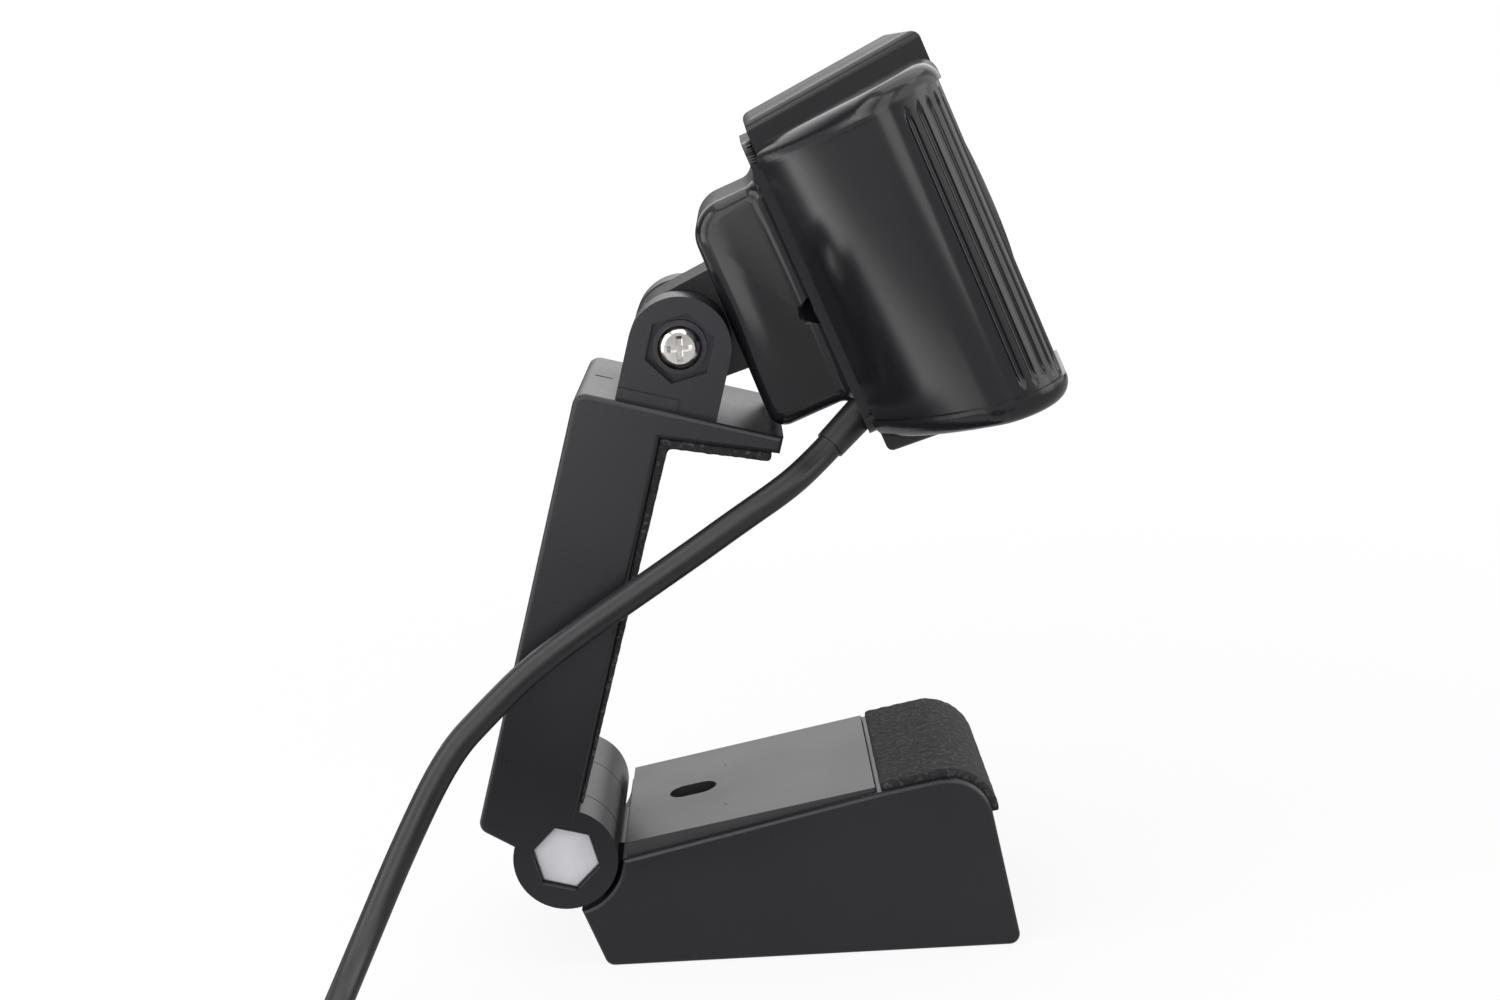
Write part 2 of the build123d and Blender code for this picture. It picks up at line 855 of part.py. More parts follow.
tongue_half = ear_inside - friction_washer_thickness - running_clearance
with BuildPart() as tilt_friction_washers:
    for high in (ear_inside, -ear_inside + friction_washer_thickness):
        with BuildSketch(arm.side(high)):
            with Locations(tilt_center):
                Circle(friction_washer_radius)
                Circle(tilt_screw_radius + running_clearance, mode=Mode.SUBTRACT)
        extrude(amount=friction_washer_thickness)
save(tilt_friction_washers, "tilt_friction_washers")


# Rear cover of the head

cover_back = head_rear - cover_thickness
boss_places = [
    (side * cover_boss_side, up * cover_boss_up) for side in (-1, 1) for up in (-1, 1)
]


exit_back = -head.forward * cos(radians(exit_drop)) - head.up * sin(radians(exit_drop))
exit_way = exit_back * cos(radians(exit_swing)) - Vector(0, 1, 0) * sin(radians(exit_swing))
exit_root = head.point(cover_back, exit_side, exit_up)
relief_end = exit_root + exit_way * relief_length
with BuildPart() as strain_relief:
    with BuildSketch(Plane(exit_root - exit_way * cord_diameter, z_dir=exit_way)):
        Circle(relief_root_radius)
    with BuildSketch(Plane(relief_end, z_dir=exit_way)):
        Circle(relief_end_radius)
    loft()
    with BuildSketch(head.front(cover_back)):
        Rectangle(8 * cover_half_width, 8 * cover_half_height)
    extrude(amount=head_front, mode=Mode.SUBTRACT)
    with BuildSketch(head.front(cover_back)):
        with Locations((exit_side, exit_up)):
            Circle(relief_spigot_radius)
    extrude(amount=cover_thickness)
    with BuildSketch(head.front(head_rear)):
        with Locations((exit_side, exit_up)):
            Circle(relief_collar_radius)
    extrude(amount=relief_collar_length)
save(strain_relief, "strain_relief")


def hump_face(up):
    """Where the hump's rear face stands, which leans a little in the head."""
    return hump_rear + up * tan(radians(hump_draft))


def forward_of(edge):
    return (edge.center() - tilt_axis).dot(head.forward)


hump_floor = hump_face(hump_high) + hump_wall
hump_middle = (hump_high + hump_low) / 2
hump_height = hump_high - hump_low
with BuildPart() as hump:
    with BuildSketch(head.side(hump_half_width)):
        with BuildLine():
            Polyline(
                (hump_face(hump_low), hump_low),
                (head_rear, hump_low),
                (head_rear, hump_high),
                (hump_face(hump_high), hump_high),
                close=True,
            )
        make_face()
        fillet(vertices().sort_by(Axis.X)[1], hump_top_radius)
        fillet(vertices().sort_by(Axis.X)[0], hump_bottom_radius)
    extrude(amount=2 * hump_half_width)
    side_edges = faces().filter_by(Axis.Y).edges()
    fillet(side_edges.filter_by(lambda edge: forward_of(edge) < cover_back), hump_side_radius)

with BuildPart() as rear_cover:
    with BuildSketch(head.front(cover_back)):
        RectangleRounded(2 * cover_half_width, 2 * cover_half_height, cover_corner)
    extrude(amount=cover_thickness)
    add(hump.part)
    # Hollow foot where the hump stands on the plate, with a scallop in each side.
    foot = edges().filter_by(
        lambda edge: abs(forward_of(edge) - cover_back) < running_clearance
        and abs(edge.center().Y) < hump_half_width + running_clearance
        and abs((edge.center() - tilt_axis).dot(head.up) - hump_middle) < hump_height / 2 + wall
    )
    fillet(foot, hump_foot_radius)
    with BuildSketch(head.front(cover_back)):
        with Locations(
            (-hump_half_width - scallop_out, scallop_up),
            (hump_half_width + scallop_out, scallop_up),
        ):
            Circle(scallop_radius)
    extrude(amount=-scallop_length, taper=scallop_taper, mode=Mode.SUBTRACT)
    with BuildSketch(head.side(tongue_half)):
        Circle(tongue_radius)
        with BuildLine():
            Polyline(
                (0, -tongue_radius),
                (hump_rear, -tongue_half_height),
                (hump_floor, -tongue_half_height),
                (hump_floor, tongue_half_height),
                (hump_rear, tongue_half_height),
                (0, tongue_radius),
                close=True,
            )
        make_face()
    extrude(amount=2 * tongue_half)
    with BuildSketch(head.side(tongue_half)):
        Circle(tilt_screw_radius + running_clearance)
    extrude(amount=2 * tongue_half, mode=Mode.SUBTRACT)
    # Hollow of the hump, open towards the head, with four screw bosses.
    with BuildSketch(head.front(hump_floor)):
        with Locations((0, hump_middle)):
            RectangleRounded(
                2 * (hump_half_width - hump_wall), hump_height - 2 * hump_wall, cover_corner
            )
        with Locations(boss_places):
            Circle(cover_boss_radius, mode=Mode.SUBTRACT)
    extrude(amount=head_rear - hump_floor, mode=Mode.SUBTRACT)
    with BuildSketch(head.front(head_rear)):
        with Locations(boss_places):
            Circle(screw_shank_radius)
    extrude(amount=-screw_length, mode=Mode.SUBTRACT)
    add(strain_relief.part, mode=Mode.SUBTRACT)
save(rear_cover, "rear_cover")


# Head core with its rims

core_back = head_rear + wall
panel_back = head_front - panel_thickness
cavity_half_width = core_half - core_ledge - wall / 2
cavity_half_height = core_rear_half_height - wall
web_middle = web_forward + web_thickness / 2
board_front = board_rear + board_thickness
board_posts = [
    (side * board_post_side, up * board_post_up) for side in (-1, 1) for up in (-1, 1)
]


def spread(height, forward):
    """Height of a wing's edge so far forward, as the wings open up towards the front."""
    return height + (wing_rise if height > 0 else -wing_drop) * (forward - head_rear)


nose_center = Vector(
    head_front - wing_setback - wing_nose_radius, wing_half - wing_nose_radius
)
flank_root = Vector(head_rear, core_half)
root_to_nose = nose_center - flank_root
flank_share = (
    wing_flank_radius**2
    - (wing_flank_radius - wing_nose_radius) ** 2
    + root_to_nose.length**2
) / (2 * root_to_nose.length)
flank_depth = sqrt(wing_flank_radius**2 - flank_share**2)
toward_nose = root_to_nose.normalized()
flank_center = (
    flank_root
    + toward_nose * flank_share
    + Vector(toward_nose.Y, -toward_nose.X) * flank_depth
)
flank_to_nose = (nose_center - flank_center).normalized()
nose_to_root = Vector(head_front, core_half) - nose_center
front_turn = acos(wing_nose_radius / nose_to_root.length) - atan2(
    -nose_to_root.Y, nose_to_root.X
)
nose_to_front = Vector(cos(front_turn), sin(front_turn))
along_front = Vector(sin(front_turn), -cos(front_turn))


def wing_plan(side, grow):
    """Draws one wing's plan, grown outwards: a long flank, a round nose and a straight front."""
    flank_reach = wing_flank_radius + grow
    nose_reach = wing_nose_radius + grow
    root_x = flank_center.X - sqrt(flank_reach**2 - (core_half - flank_center.Y) ** 2)
    root = Vector(root_x, core_half)
    shoulder = nose_center + flank_to_nose * nose_reach
    nose_front = nose_center + nose_to_front * nose_reach
    front_length = (nose_front.Y - core_half) / cos(front_turn)
    on_flank = (root + shoulder - flank_center * 2).normalized()
    on_nose = (flank_to_nose + nose_to_front).normalized()
    left_side = [
        root,
        flank_center + on_flank * flank_reach,
        shoulder,
        nose_center + on_nose * nose_reach,
        nose_front,
        nose_front + along_front * front_length,
    ]
    root, flank, shoulder, nose, nose_front, front_root = [
        (point.X, side * point.Y) for point in left_side
    ]
    with BuildLine() as outline:
        ThreePointArc(root, flank, shoulder)
        ThreePointArc(shoulder, nose, nose_front)
        Polyline(nose_front, front_root, root)
    make_face(outline.edges())


def wing_slab(side, low, high, grow):
    """One wing's plan between two heights that spread towards the front."""
    back, front = head_rear - wall, head_front + wall
    with BuildPart() as slab:
        with BuildSketch(head.top(spread(rim_low, front))):
            wing_plan(side, grow)
        extrude(amount=spread(rim_high, front) - spread(rim_low, front))
        with BuildSketch(head.side(wing_half + wall)):
            with BuildLine() as outline:
                Polyline(
                    (back, spread(low, back)),
                    (front, spread(low, front)),
                    (front, spread(high, front)),
                    (back, spread(high, back)),
                    close=True,
                )
            make_face(outline.edges())
        extrude(amount=2 * (wing_half + wall), mode=Mode.INTERSECT)
    return slab.part


def rim(side, low, high):
    """One rim that closes the end of a wing, rounded along its outer edge."""
    with BuildPart() as plate:
        add(wing_slab(side, low, high, rim_proud))
        end_face = faces().sort_by(
            lambda face: abs((face.center() - tilt_axis).dot(head.up))
        )[-1]
        round_edges = end_face.edges().filter_by(
            lambda edge: abs(edge.center().Y) > core_half + rim_proud
        )
        fillet(round_edges, rim_rounding)
    return plate.part


with BuildPart() as head_core:
    with BuildSketch(head.side(core_half)):
        with BuildLine():
            Polyline(
                (head_rear, -core_rear_half_height),
                (head_front, -core_front_half_height),
                (head_front, core_front_half_height),
                (head_rear, core_rear_half_height),
                close=True,
            )
        make_face()
    extrude(amount=2 * core_half)
    fillet(
        edges().filter_by(
            lambda edge: abs((edge.center() - tilt_axis).dot(head.up)) > rim_high
        ),
        core_rounding,
    )
    for side in (-1, 1):
        add(rim(side, wing_high, rim_high))
        add(rim(side, rim_low, wing_low))
    # Room inside, seat of the front panel and window to the hump.
    with BuildSketch(head.front(core_back)):
        Rectangle(2 * cavity_half_width, 2 * cavity_half_height)
    extrude(amount=head_front - core_back, mode=Mode.SUBTRACT)
    with BuildSketch(head.front(panel_back)):
        Rectangle(2 * (core_half - core_ledge), 2 * (core_front_half_height - core_ledge))
    extrude(amount=panel_thickness, mode=Mode.SUBTRACT)
    with BuildSketch(head.front(core_back)):
        with Locations(board_posts):
            Circle(board_post_radius)
    extrude(amount=board_rear - core_back)
    with BuildSketch(head.front(board_rear)):
        with Locations(board_posts):
            Circle(screw_shank_radius)
    extrude(amount=-(board_rear - core_back), mode=Mode.SUBTRACT)
    with BuildSketch(head.front(head_rear)):
        Rectangle(2 * window_half_width, 2 * window_half_height)
        with Locations(boss_places):
            Circle(screw_shank_radius + screw_clearance)
        with Locations((exit_side, exit_up)):
            Circle(relief_collar_radius + slip_clearance)
    extrude(amount=wall, mode=Mode.SUBTRACT)
    # Slots for the tabs of the side covers.
    with BuildSketch(head.side(core_half)):
        with Locations((web_middle, 0)):
            Rectangle(
                web_thickness + 2 * slip_clearance, 2 * (tab_half_height + slip_clearance)
            )
    extrude(amount=2 * core_half, mode=Mode.SUBTRACT)
save(head_core, "head_core")

with BuildPart() as rear_cover_screws:
    with BuildSketch(head.front(core_back)):
        with Locations(boss_places):
            Circle(screw_head_radius)
    extrude(amount=screw_head_height)
    with BuildSketch(head.front(core_back)):
        with Locations(boss_places):
            Circle(screw_shank_radius)
    extrude(amount=-(screw_length - screw_head_height))
save(rear_cover_screws, "rear_cover_screws")


# Side covers

rib_pitch = wing_nose_radius * radians(rib_step_angle)
rib_low = spread(wing_low, nose_center.X) + rib_margin
rib_high = spread(wing_high, nose_center.X) - rib_margin
rib_last_turn = radians(rib_first_angle + (rib_count - 1) * rib_step_angle)
rib_left_over = wing_nose_radius * (pi / 2 - front_turn - rib_last_turn)
rib_front_start = (
    nose_center + nose_to_front * wing_nose_radius + along_front * (rib_pitch - rib_left_over)
)


def side_cover(side):
    """Curved shell of one wing, ribbed in front, with a web that carries the microphone."""
    with BuildPart() as shell:
        add(wing_slab(side, wing_low, wing_high, 0))
        add(wing_slab(side, rim_low, rim_high, -wall), mode=Mode.SUBTRACT)
        with BuildSketch(head.top(rib_low)):
            for count in range(rib_count):
                turn = radians(rib_first_angle + count * rib_step_angle)
                with Locations(
                    (
                        nose_center.X + wing_nose_radius * sin(turn),
                        side * (nose_center.Y + wing_nose_radius * cos(turn)),
                    )
                ):
                    Circle(rib_groove_radius)
            for count in range(rib_front_count):
                place = rib_front_start + along_front * (count * rib_pitch)
                with Locations((place.X, side * place.Y)):
                    Circle(rib_groove_radius)
        extrude(amount=rib_high - rib_low, mode=Mode.SUBTRACT)
        with BuildPart(mode=Mode.PRIVATE) as web:
            with BuildSketch(head.top(-web_half_height)):
                wing_plan(side, -wall / 2)
            extrude(amount=2 * web_half_height)
            with BuildSketch(head.front(web_forward)):
                with Locations((side * core_half, 0)):
                    Rectangle(2 * (wing_half - core_half), 2 * web_half_height)
            extrude(amount=web_thickness, mode=Mode.INTERSECT)
        with BuildSketch(head.front(web_forward)):
            with Locations((side * core_half, 0)):
                Rectangle(
                    tab_length,
                    2 * tab_half_height,
                    align=(Align.MAX if side > 0 else Align.MIN, Align.CENTER),
                )
        extrude(amount=web_thickness)
        add(web.part)
    return shell


side_cover_right = side_cover(-1)
save(side_cover_right, "side_cover_right")
side_cover_left = side_cover(1)
save(side_cover_left, "side_cover_left")


# Microphones in their rubber boots, one in each wing

boot_radius = microphone_radius + microphone_boot_wall
boot_back = web_forward + web_thickness
microphone_places = [(side * (core_half + microphone_out), 0) for side in (-1, 1)]
with BuildPart() as microphone_boots:
    with BuildSketch(head.front(boot_back)):
        with Locations(microphone_places):
            Circle(boot_radius)
    extrude(amount=microphone_boot_floor + microphone_length)
    with BuildSketch(head.front(boot_back + microphone_boot_floor)):
        with Locations(microphone_places):
            Circle(microphone_radius)
    extrude(amount=microphone_length, mode=Mode.SUBTRACT)
save(microphone_boots, "microphone_boots")

with BuildPart() as microphones:
    with BuildSketch(head.front(boot_back + microphone_boot_floor)):
        with Locations(microphone_places):
            Circle(microphone_radius)
    extrude(amount=microphone_length)
save(microphones, "microphones")


# Circuit board

led_place = (led_side, led_up)
with BuildPart() as main_pcb:
    with BuildSketch(head.front(board_rear)):
        Rectangle(2 * board_half_width, 2 * board_half_height)
        with Locations(board_posts):
            Circle(screw_shank_radius + screw_clearance, mode=Mode.SUBTRACT)
    extrude(amount=board_thickness)
save(main_pcb, "main_pcb")

with BuildPart() as pcb_screws:
    with BuildSketch(head.front(board_front)):
        with Locations(board_posts):
            Circle(screw_head_radius)
    extrude(amount=screw_head_height)
    with BuildSketch(head.front(board_front)):
        with Locations(board_posts):
            Circle(screw_shank_radius)
    extrude(amount=-(board_front - core_back))
save(pcb_screws, "pcb_screws")

with BuildPart() as usb_header:
    with BuildSketch(head.front(board_rear)):
        with Locations((0, -header_drop)):
            Rectangle(header_width, header_height)
    extrude(amount=-header_depth)
    with BuildSketch(head.front(board_rear - header_depth)):
        with Locations((0, -header_drop)):
            Rectangle(header_width - wall, header_height - wall)
    extrude(amount=header_depth / 2, mode=Mode.SUBTRACT)
save(usb_header, "usb_header")

with BuildPart() as image_sensor:
    with BuildSketch(head.front(board_front)):
        Rectangle(2 * sensor_half, 2 * sensor_half)
    extrude(amount=sensor_thickness)
save(image_sensor, "image_sensor")

with BuildPart() as status_led:
    with BuildSketch(head.front(board_front)):
        with Locations(led_place):
            Rectangle(2 * led_half, 2 * led_half)
    extrude(amount=led_height)
save(status_led, "status_led")

pipe_back = board_front + led_height
with BuildPart() as light_pipe:
    with BuildSketch(head.front(pipe_back)):
        with Locations(led_place):
            Circle(light_pipe_radius)
    extrude(amount=head_front - pipe_back)
    with BuildSketch(head.front(panel_back)):
        with Locations(led_place):
            Circle(light_pipe_flange)
    extrude(amount=-light_pipe_radius)
save(light_pipe, "light_pipe")


# Lens

holder_web_back = board_front + holder_base - holder_web
holder_front = board_front + holder_height
with BuildPart() as lens_holder:
    with BuildSketch(head.front(board_front)):
        RectangleRounded(2 * holder_half, 2 * holder_half, wall)
    extrude(amount=holder_base)
    with BuildSketch(head.front(board_front)):
        Circle(holder_tube_radius)
    extrude(amount=holder_height)
    with BuildSketch(head.front(board_front)):
        Rectangle(2 * holder_pocket_half, 2 * holder_pocket_half)
    extrude(amount=holder_base - holder_web, mode=Mode.SUBTRACT)
    with BuildSketch(head.front(holder_web_back)):
        Circle(lens_bore_radius)
    extrude(amount=holder_web, mode=Mode.SUBTRACT)
    with BuildSketch(head.front(board_front + holder_base)):
        Circle(lens_thread_radius)
    extrude(amount=holder_height - holder_base, mode=Mode.SUBTRACT)
save(lens_holder, "lens_holder")

with BuildPart() as ir_filter:
    with BuildSketch(head.front(holder_web_back)):
        Rectangle(2 * filter_half, 2 * filter_half)
    extrude(amount=-filter_thickness)
save(ir_filter, "ir_filter")

barrel_back = lens_barrel_front - lens_barrel_length
lens_seat = lens_barrel_front - front_lens_thickness
with BuildPart() as lens_barrel:
    with BuildSketch(head.front(barrel_back)):
        Circle(lens_thread_radius)
    extrude(amount=lens_barrel_length)
    with BuildSketch(head.front(barrel_back + lens_thread_length)):
        Circle(lens_barrel_radius)
    extrude(amount=lens_barrel_length - lens_thread_length)
    with BuildSketch(head.front(barrel_back)):
        Circle(lens_bore_radius)
    extrude(amount=lens_barrel_length, mode=Mode.SUBTRACT)
    with BuildSketch(head.front(lens_seat)):
        Circle(front_lens_radius)
    extrude(amount=front_lens_thickness, mode=Mode.SUBTRACT)
save(lens_barrel, "lens_barrel")

with BuildPart() as front_lens:
    with BuildSketch(head.side(0)):
        with BuildLine():
            Polyline(
                (lens_barrel_front, front_lens_radius),
                (lens_seat, front_lens_radius),
                (lens_seat, 0),
                (lens_barrel_front + front_lens_crown, 0),
            )
            RadiusArc(
                (lens_barrel_front + front_lens_crown, 0),
                (lens_barrel_front, front_lens_radius),
                -(front_lens_radius**2 + front_lens_crown**2) / (2 * front_lens_crown),
            )
        make_face()
    revolve(axis=Axis(tilt_axis, head.forward))
save(front_lens, "front_lens")

with BuildPart() as front_panel:
    with BuildSketch(head.front(panel_back)):
        Rectangle(
            2 * (core_half - core_ledge - running_clearance),
            2 * (core_front_half_height - core_ledge - running_clearance),
        )
        Circle(aperture_radius, mode=Mode.SUBTRACT)
        with Locations(led_place):
            Circle(light_pipe_radius, mode=Mode.SUBTRACT)
    extrude(amount=panel_thickness)
save(front_panel, "front_panel")

with BuildPart() as lens_ring:
    with BuildSketch(head.front(head_front - lens_ring_spigot)):
        Circle(aperture_radius)
    extrude(amount=lens_ring_spigot)
    with BuildSketch(head.front(head_front)):
        Circle(lens_ring_radius)
    extrude(amount=lens_ring_proud)
    chamfer(
        faces().filter_by(GeomType.PLANE).sort_by(forward_of)[-1].edges(), lens_ring_chamfer
    )
    with BuildSketch(head.front(head_front - lens_ring_spigot)):
        Circle(lens_barrel_radius)
    extrude(amount=lens_ring_spigot + lens_ring_proud, mode=Mode.SUBTRACT)
save(lens_ring, "lens_ring")


# USB lead

def bend_radii(points):
    """Radius of the arc at each inner point, from the shorter run beside it and its turn."""
    radii = []
    for before, here, after in zip(points, points[1:], points[2:]):
        first = here - before
        second = after - here
        half_turn = radians(first.get_angle(second)) / 2
        radii.append(0.45 * min(first.length, second.length) / tan(half_turn))
    return radii


def cord(name, points):
    """A run of the lead through these points, as straight runs joined by tangent arcs."""
    points = [Vector(*point) for point in points]
    radii = bend_radii(points)
    with BuildPart() as tube:
        with BuildLine() as path:
            FilletPolyline(*points, radius=radii)
        with BuildSketch(Plane(points[0], z_dir=points[1] - points[0])):
            Circle(cord_diameter / 2)
        route = path.wires()[0]
        sweep(path=route)
    section = pi * cord_diameter**2 / 4
    print(
        name,
        "length",
        round(route.length, 1),
        "least bend radius",
        round(min(radii), 1),
        "volume over section times length",
        round(tube.part.volume / section / route.length, 4),
    )
    return tube


coil_low = coil_lift + cord_diameter / 2
coil_high = coil_low + coil_layer_step
coil_x, coil_y = coil_center
coil_start = Vector(coil_x - coil_radius, coil_y + cord_diameter, coil_low)
beside_ear = Vector(-15.0, -20.2, 56.4)
beside_heel = Vector(-33.7, -21.0, 44.8)
upper_share = 0.55
cord_meeting = beside_ear + (beside_heel - beside_ear) * upper_share
cable_upper = cord(
    "cable_upper",
    [
        relief_end,
        relief_end + exit_way * relief_first_run,
        (-7.1, -19.3, 61.5),
        beside_ear,
        cord_meeting,
    ],
)
save(cable_upper, "cable_upper")
cable_lower = cord(
    "cable_lower",
    [
        cord_meeting,
        beside_heel,
        (-40.8, -22.0, 38.6),
        (-46.2, -23.5, 33.6),
        (-52.5, -26.0, 22.5),
        (-58.0, -30.5, 11.5),
        (-61.5, -39.0, 4.6),
        (-62.4, -51.0, coil_low),
        (coil_start.X, -64.0, coil_low),
        coil_start,
    ],
)
save(cable_lower, "cable_lower")


# Coil of spare lead: in along the floor, a climbing half turn, and out on top

half_step = coil_pitch / 2
with BuildPart() as cable_coil:
    with BuildLine() as coil_path:
        here = Vector(coil_x - coil_radius, coil_y, coil_low)
        Line(coil_start, here)
        side = -1
        radius = coil_radius
        for count in range(coil_half_turns):
            there = here + Vector(-side * 2 * radius, 0, 0)
            middle = here + Vector(-side * radius, side * radius, 0)
            ThreePointArc(here, middle, there)
            here = there
            side = -side
            radius = radius - half_step
        there = here + Vector(-side * 2 * radius, 0, coil_layer_step)
        reach = sqrt(radius**2 + coil_layer_step**2 / 4)
        middle = here + Vector(-side * radius, side * reach, coil_layer_step / 2)
        first = TangentArc(here, middle, tangent=(0, side, 0))
        TangentArc(middle, there, tangent=first % 1)
        here = there
        side = -side
        for count in range(coil_half_turns - 1):
            radius = radius + half_step
            there = here + Vector(-side * 2 * radius, 0, 0)
            middle = here + Vector(-side * radius, side * radius, 0)
            ThreePointArc(here, middle, there)
            here = there
            side = -side
        radius = radius + half_step
        there = here + Vector(radius, -radius, 0)
        slant = radius * sqrt(0.5)
        middle = here + Vector(radius - slant, -slant, 0)
        ThreePointArc(here, middle, there)
        coil_end = there + Vector(cord_diameter, 0, 0)
        Line(there, coil_end)
    with BuildSketch(Plane(coil_start, z_dir=(0, -1, 0))):
        Circle(cord_diameter / 2)
    coil_route = coil_path.wires()[0]
    sweep(path=coil_route)
save(cable_coil, "cable_coil")

coil_length = coil_route.length
sample_count = 1600
samples = [coil_route.position_at(i / sample_count) for i in range(sample_count + 1)]
stride = int(6 * cord_diameter / coil_length * sample_count) + 1
least = min(
    (samples[i] - samples[j]).length
    for i in range(0, sample_count + 1, 2)
    for j in range(i + stride, sample_count + 1)
)
print(
    "cable_coil length",
    round(coil_length, 1),
    "least gap to itself",
    round(least - cord_diameter, 3),
    "volume over section times length",
    round(cable_coil.part.volume / (pi * cord_diameter**2 / 4) / coil_length, 4),
)

plug_height = plug_body_height / 2
plug_start = Vector(plug_start_x, coil_end.Y + plug_aside, plug_height)
cable_tail = cord(
    "cable_tail",
    [
        coil_end,
        coil_end + Vector(7.3, 0, 0),
        plug_start - Vector(7.0, 0, 0),
        plug_start,
    ],
)
save(cable_tail, "cable_tail")

climb_radius = coil_radius - coil_half_turns * half_step
tie_x = coil_x + half_step
tie_near = sqrt((climb_radius - cord_diameter / 2) ** 2 - (tie_width / 2) ** 2)
tie_inner_low = coil_y + tie_near - tie_clearance
tie_inner_high = coil_y + coil_radius - half_step + cord_diameter / 2 + tie_clearance
tie_room = coil_layer_step + cord_diameter + 2 * tie_clearance
with BuildPart() as cable_tie:
    with BuildSketch(Plane((tie_x - tie_width / 2, 0, 0), x_dir=(0, 1, 0), z_dir=(1, 0, 0))):
        with Locations(((tie_inner_low + tie_inner_high) / 2, 0)):
            Rectangle(
                tie_inner_high - tie_inner_low + 2 * tie_thickness,
                tie_room + 2 * tie_thickness,
                align=(Align.CENTER, Align.MIN),
            )
        with Locations(((tie_inner_low + tie_inner_high) / 2, tie_thickness)):
            Rectangle(
                tie_inner_high - tie_inner_low,
                tie_room,
                align=(Align.CENTER, Align.MIN),
                mode=Mode.SUBTRACT,
            )
    extrude(amount=tie_width)
save(cable_tie, "cable_tie")


# USB plug

body_start = plug_start + Vector(plug_nose_length, 0, 0)
body_end = body_start + Vector(plug_body_length, 0, 0)
shell_start = body_end - Vector(plug_shell_root, 0, 0)


def across(point):
    """Plane across the plug at a point of its axis; extruding goes to the open end."""
    return Plane(point, x_dir=(0, 1, 0), z_dir=(1, 0, 0))


with BuildPart() as plug_body:
    with BuildSketch(across(body_start)):
        RectangleRounded(plug_body_width, plug_body_height, plug_body_rounding)
    extrude(amount=plug_body_length)
    fillet(faces().filter_by(Axis.X).edges(), plug_end_rounding)
    with BuildSketch(across(plug_start)):
        Circle(plug_nose_radius)
    extrude(amount=plug_nose_length)
    with BuildSketch(across(shell_start)):
        Rectangle(plug_shell_width, plug_shell_height)
    extrude(amount=plug_shell_root, mode=Mode.SUBTRACT)
save(plug_body, "plug_body")

shell_length = plug_shell_root + plug_shell_length
inner_width = plug_shell_width - 2 * plug_shell_wall
inner_height = plug_shell_height - 2 * plug_shell_wall
window_x = body_end.X + plug_window_from_end
with BuildPart() as plug_shell:
    with BuildSketch(across(shell_start)):
        Rectangle(plug_shell_width, plug_shell_height)
        Rectangle(inner_width, inner_height, mode=Mode.SUBTRACT)
    extrude(amount=shell_length)
    with BuildSketch(Plane((window_x, plug_start.Y, 0))):
        with GridLocations(0, plug_shell_width / 2, 1, 2):
            Rectangle(plug_window, plug_window)
    extrude(amount=plug_body_height, mode=Mode.SUBTRACT)
save(plug_shell, "plug_shell")

with BuildPart() as plug_tongue:
    with BuildSketch(across(shell_start)):
        with Locations((0, inner_height / 2)):
            Rectangle(inner_width, plug_tongue_height, align=(Align.CENTER, Align.MAX))
    extrude(amount=shell_length - plug_shell_wall)
save(plug_tongue, "plug_tongue")
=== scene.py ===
import json
import math
from functools import partial

import bmesh
import bpy
from bpy.props import FloatProperty, FloatVectorProperty, IntProperty, PointerProperty
from mathutils import Matrix, Vector, noise


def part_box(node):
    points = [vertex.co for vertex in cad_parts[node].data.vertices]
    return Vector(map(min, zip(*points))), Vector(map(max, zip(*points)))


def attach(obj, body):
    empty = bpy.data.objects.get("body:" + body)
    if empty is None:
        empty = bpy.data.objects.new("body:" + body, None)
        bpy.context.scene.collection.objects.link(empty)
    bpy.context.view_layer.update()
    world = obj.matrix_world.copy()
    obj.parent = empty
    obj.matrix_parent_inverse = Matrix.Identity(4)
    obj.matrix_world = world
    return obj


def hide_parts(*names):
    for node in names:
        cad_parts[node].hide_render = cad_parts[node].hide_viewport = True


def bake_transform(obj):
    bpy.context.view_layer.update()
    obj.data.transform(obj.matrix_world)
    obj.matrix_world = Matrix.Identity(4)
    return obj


bl_info = {
    "name": "Webcam on a folding clip",
    "version": (1, 0, 0),
    "blender": (4, 5, 0),
    "location": "3D View > Sidebar > Webcam",
    "description": "Dresses the packed webcam with its lead, pads, finishes, lens and studio",
    "category": "Object",
}

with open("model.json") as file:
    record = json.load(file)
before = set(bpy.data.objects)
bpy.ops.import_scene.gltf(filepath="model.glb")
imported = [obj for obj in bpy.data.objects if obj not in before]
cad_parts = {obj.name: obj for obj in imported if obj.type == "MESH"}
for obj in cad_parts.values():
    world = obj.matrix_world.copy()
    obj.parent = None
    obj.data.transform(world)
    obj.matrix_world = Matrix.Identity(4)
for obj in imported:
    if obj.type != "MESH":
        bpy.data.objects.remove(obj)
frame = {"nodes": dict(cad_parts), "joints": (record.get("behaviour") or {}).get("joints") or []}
nodes = frame["nodes"]
joints = {joint["name"]: joint for joint in frame["joints"]}
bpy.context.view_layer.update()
MM = 0.001
ARM_LEAN = -16.0
HEAD_LEAN = 21.0


def leaning(origin, lean):
    """Matrix from a leaning piece's own millimetres, forward, left and up, to the part."""
    turn = Matrix.Rotation(-math.radians(lean), 4, "Y")
    return Matrix.Translation(Vector(origin)) @ turn @ Matrix.Scale(MM, 4)


PART = leaning((0, 0, 0), 0)
ARM = leaning(joints["base_fold"]["pos_m"], ARM_LEAN)
HEAD = leaning(joints["head_tilt"]["pos_m"], HEAD_LEAN)


# What a user may change

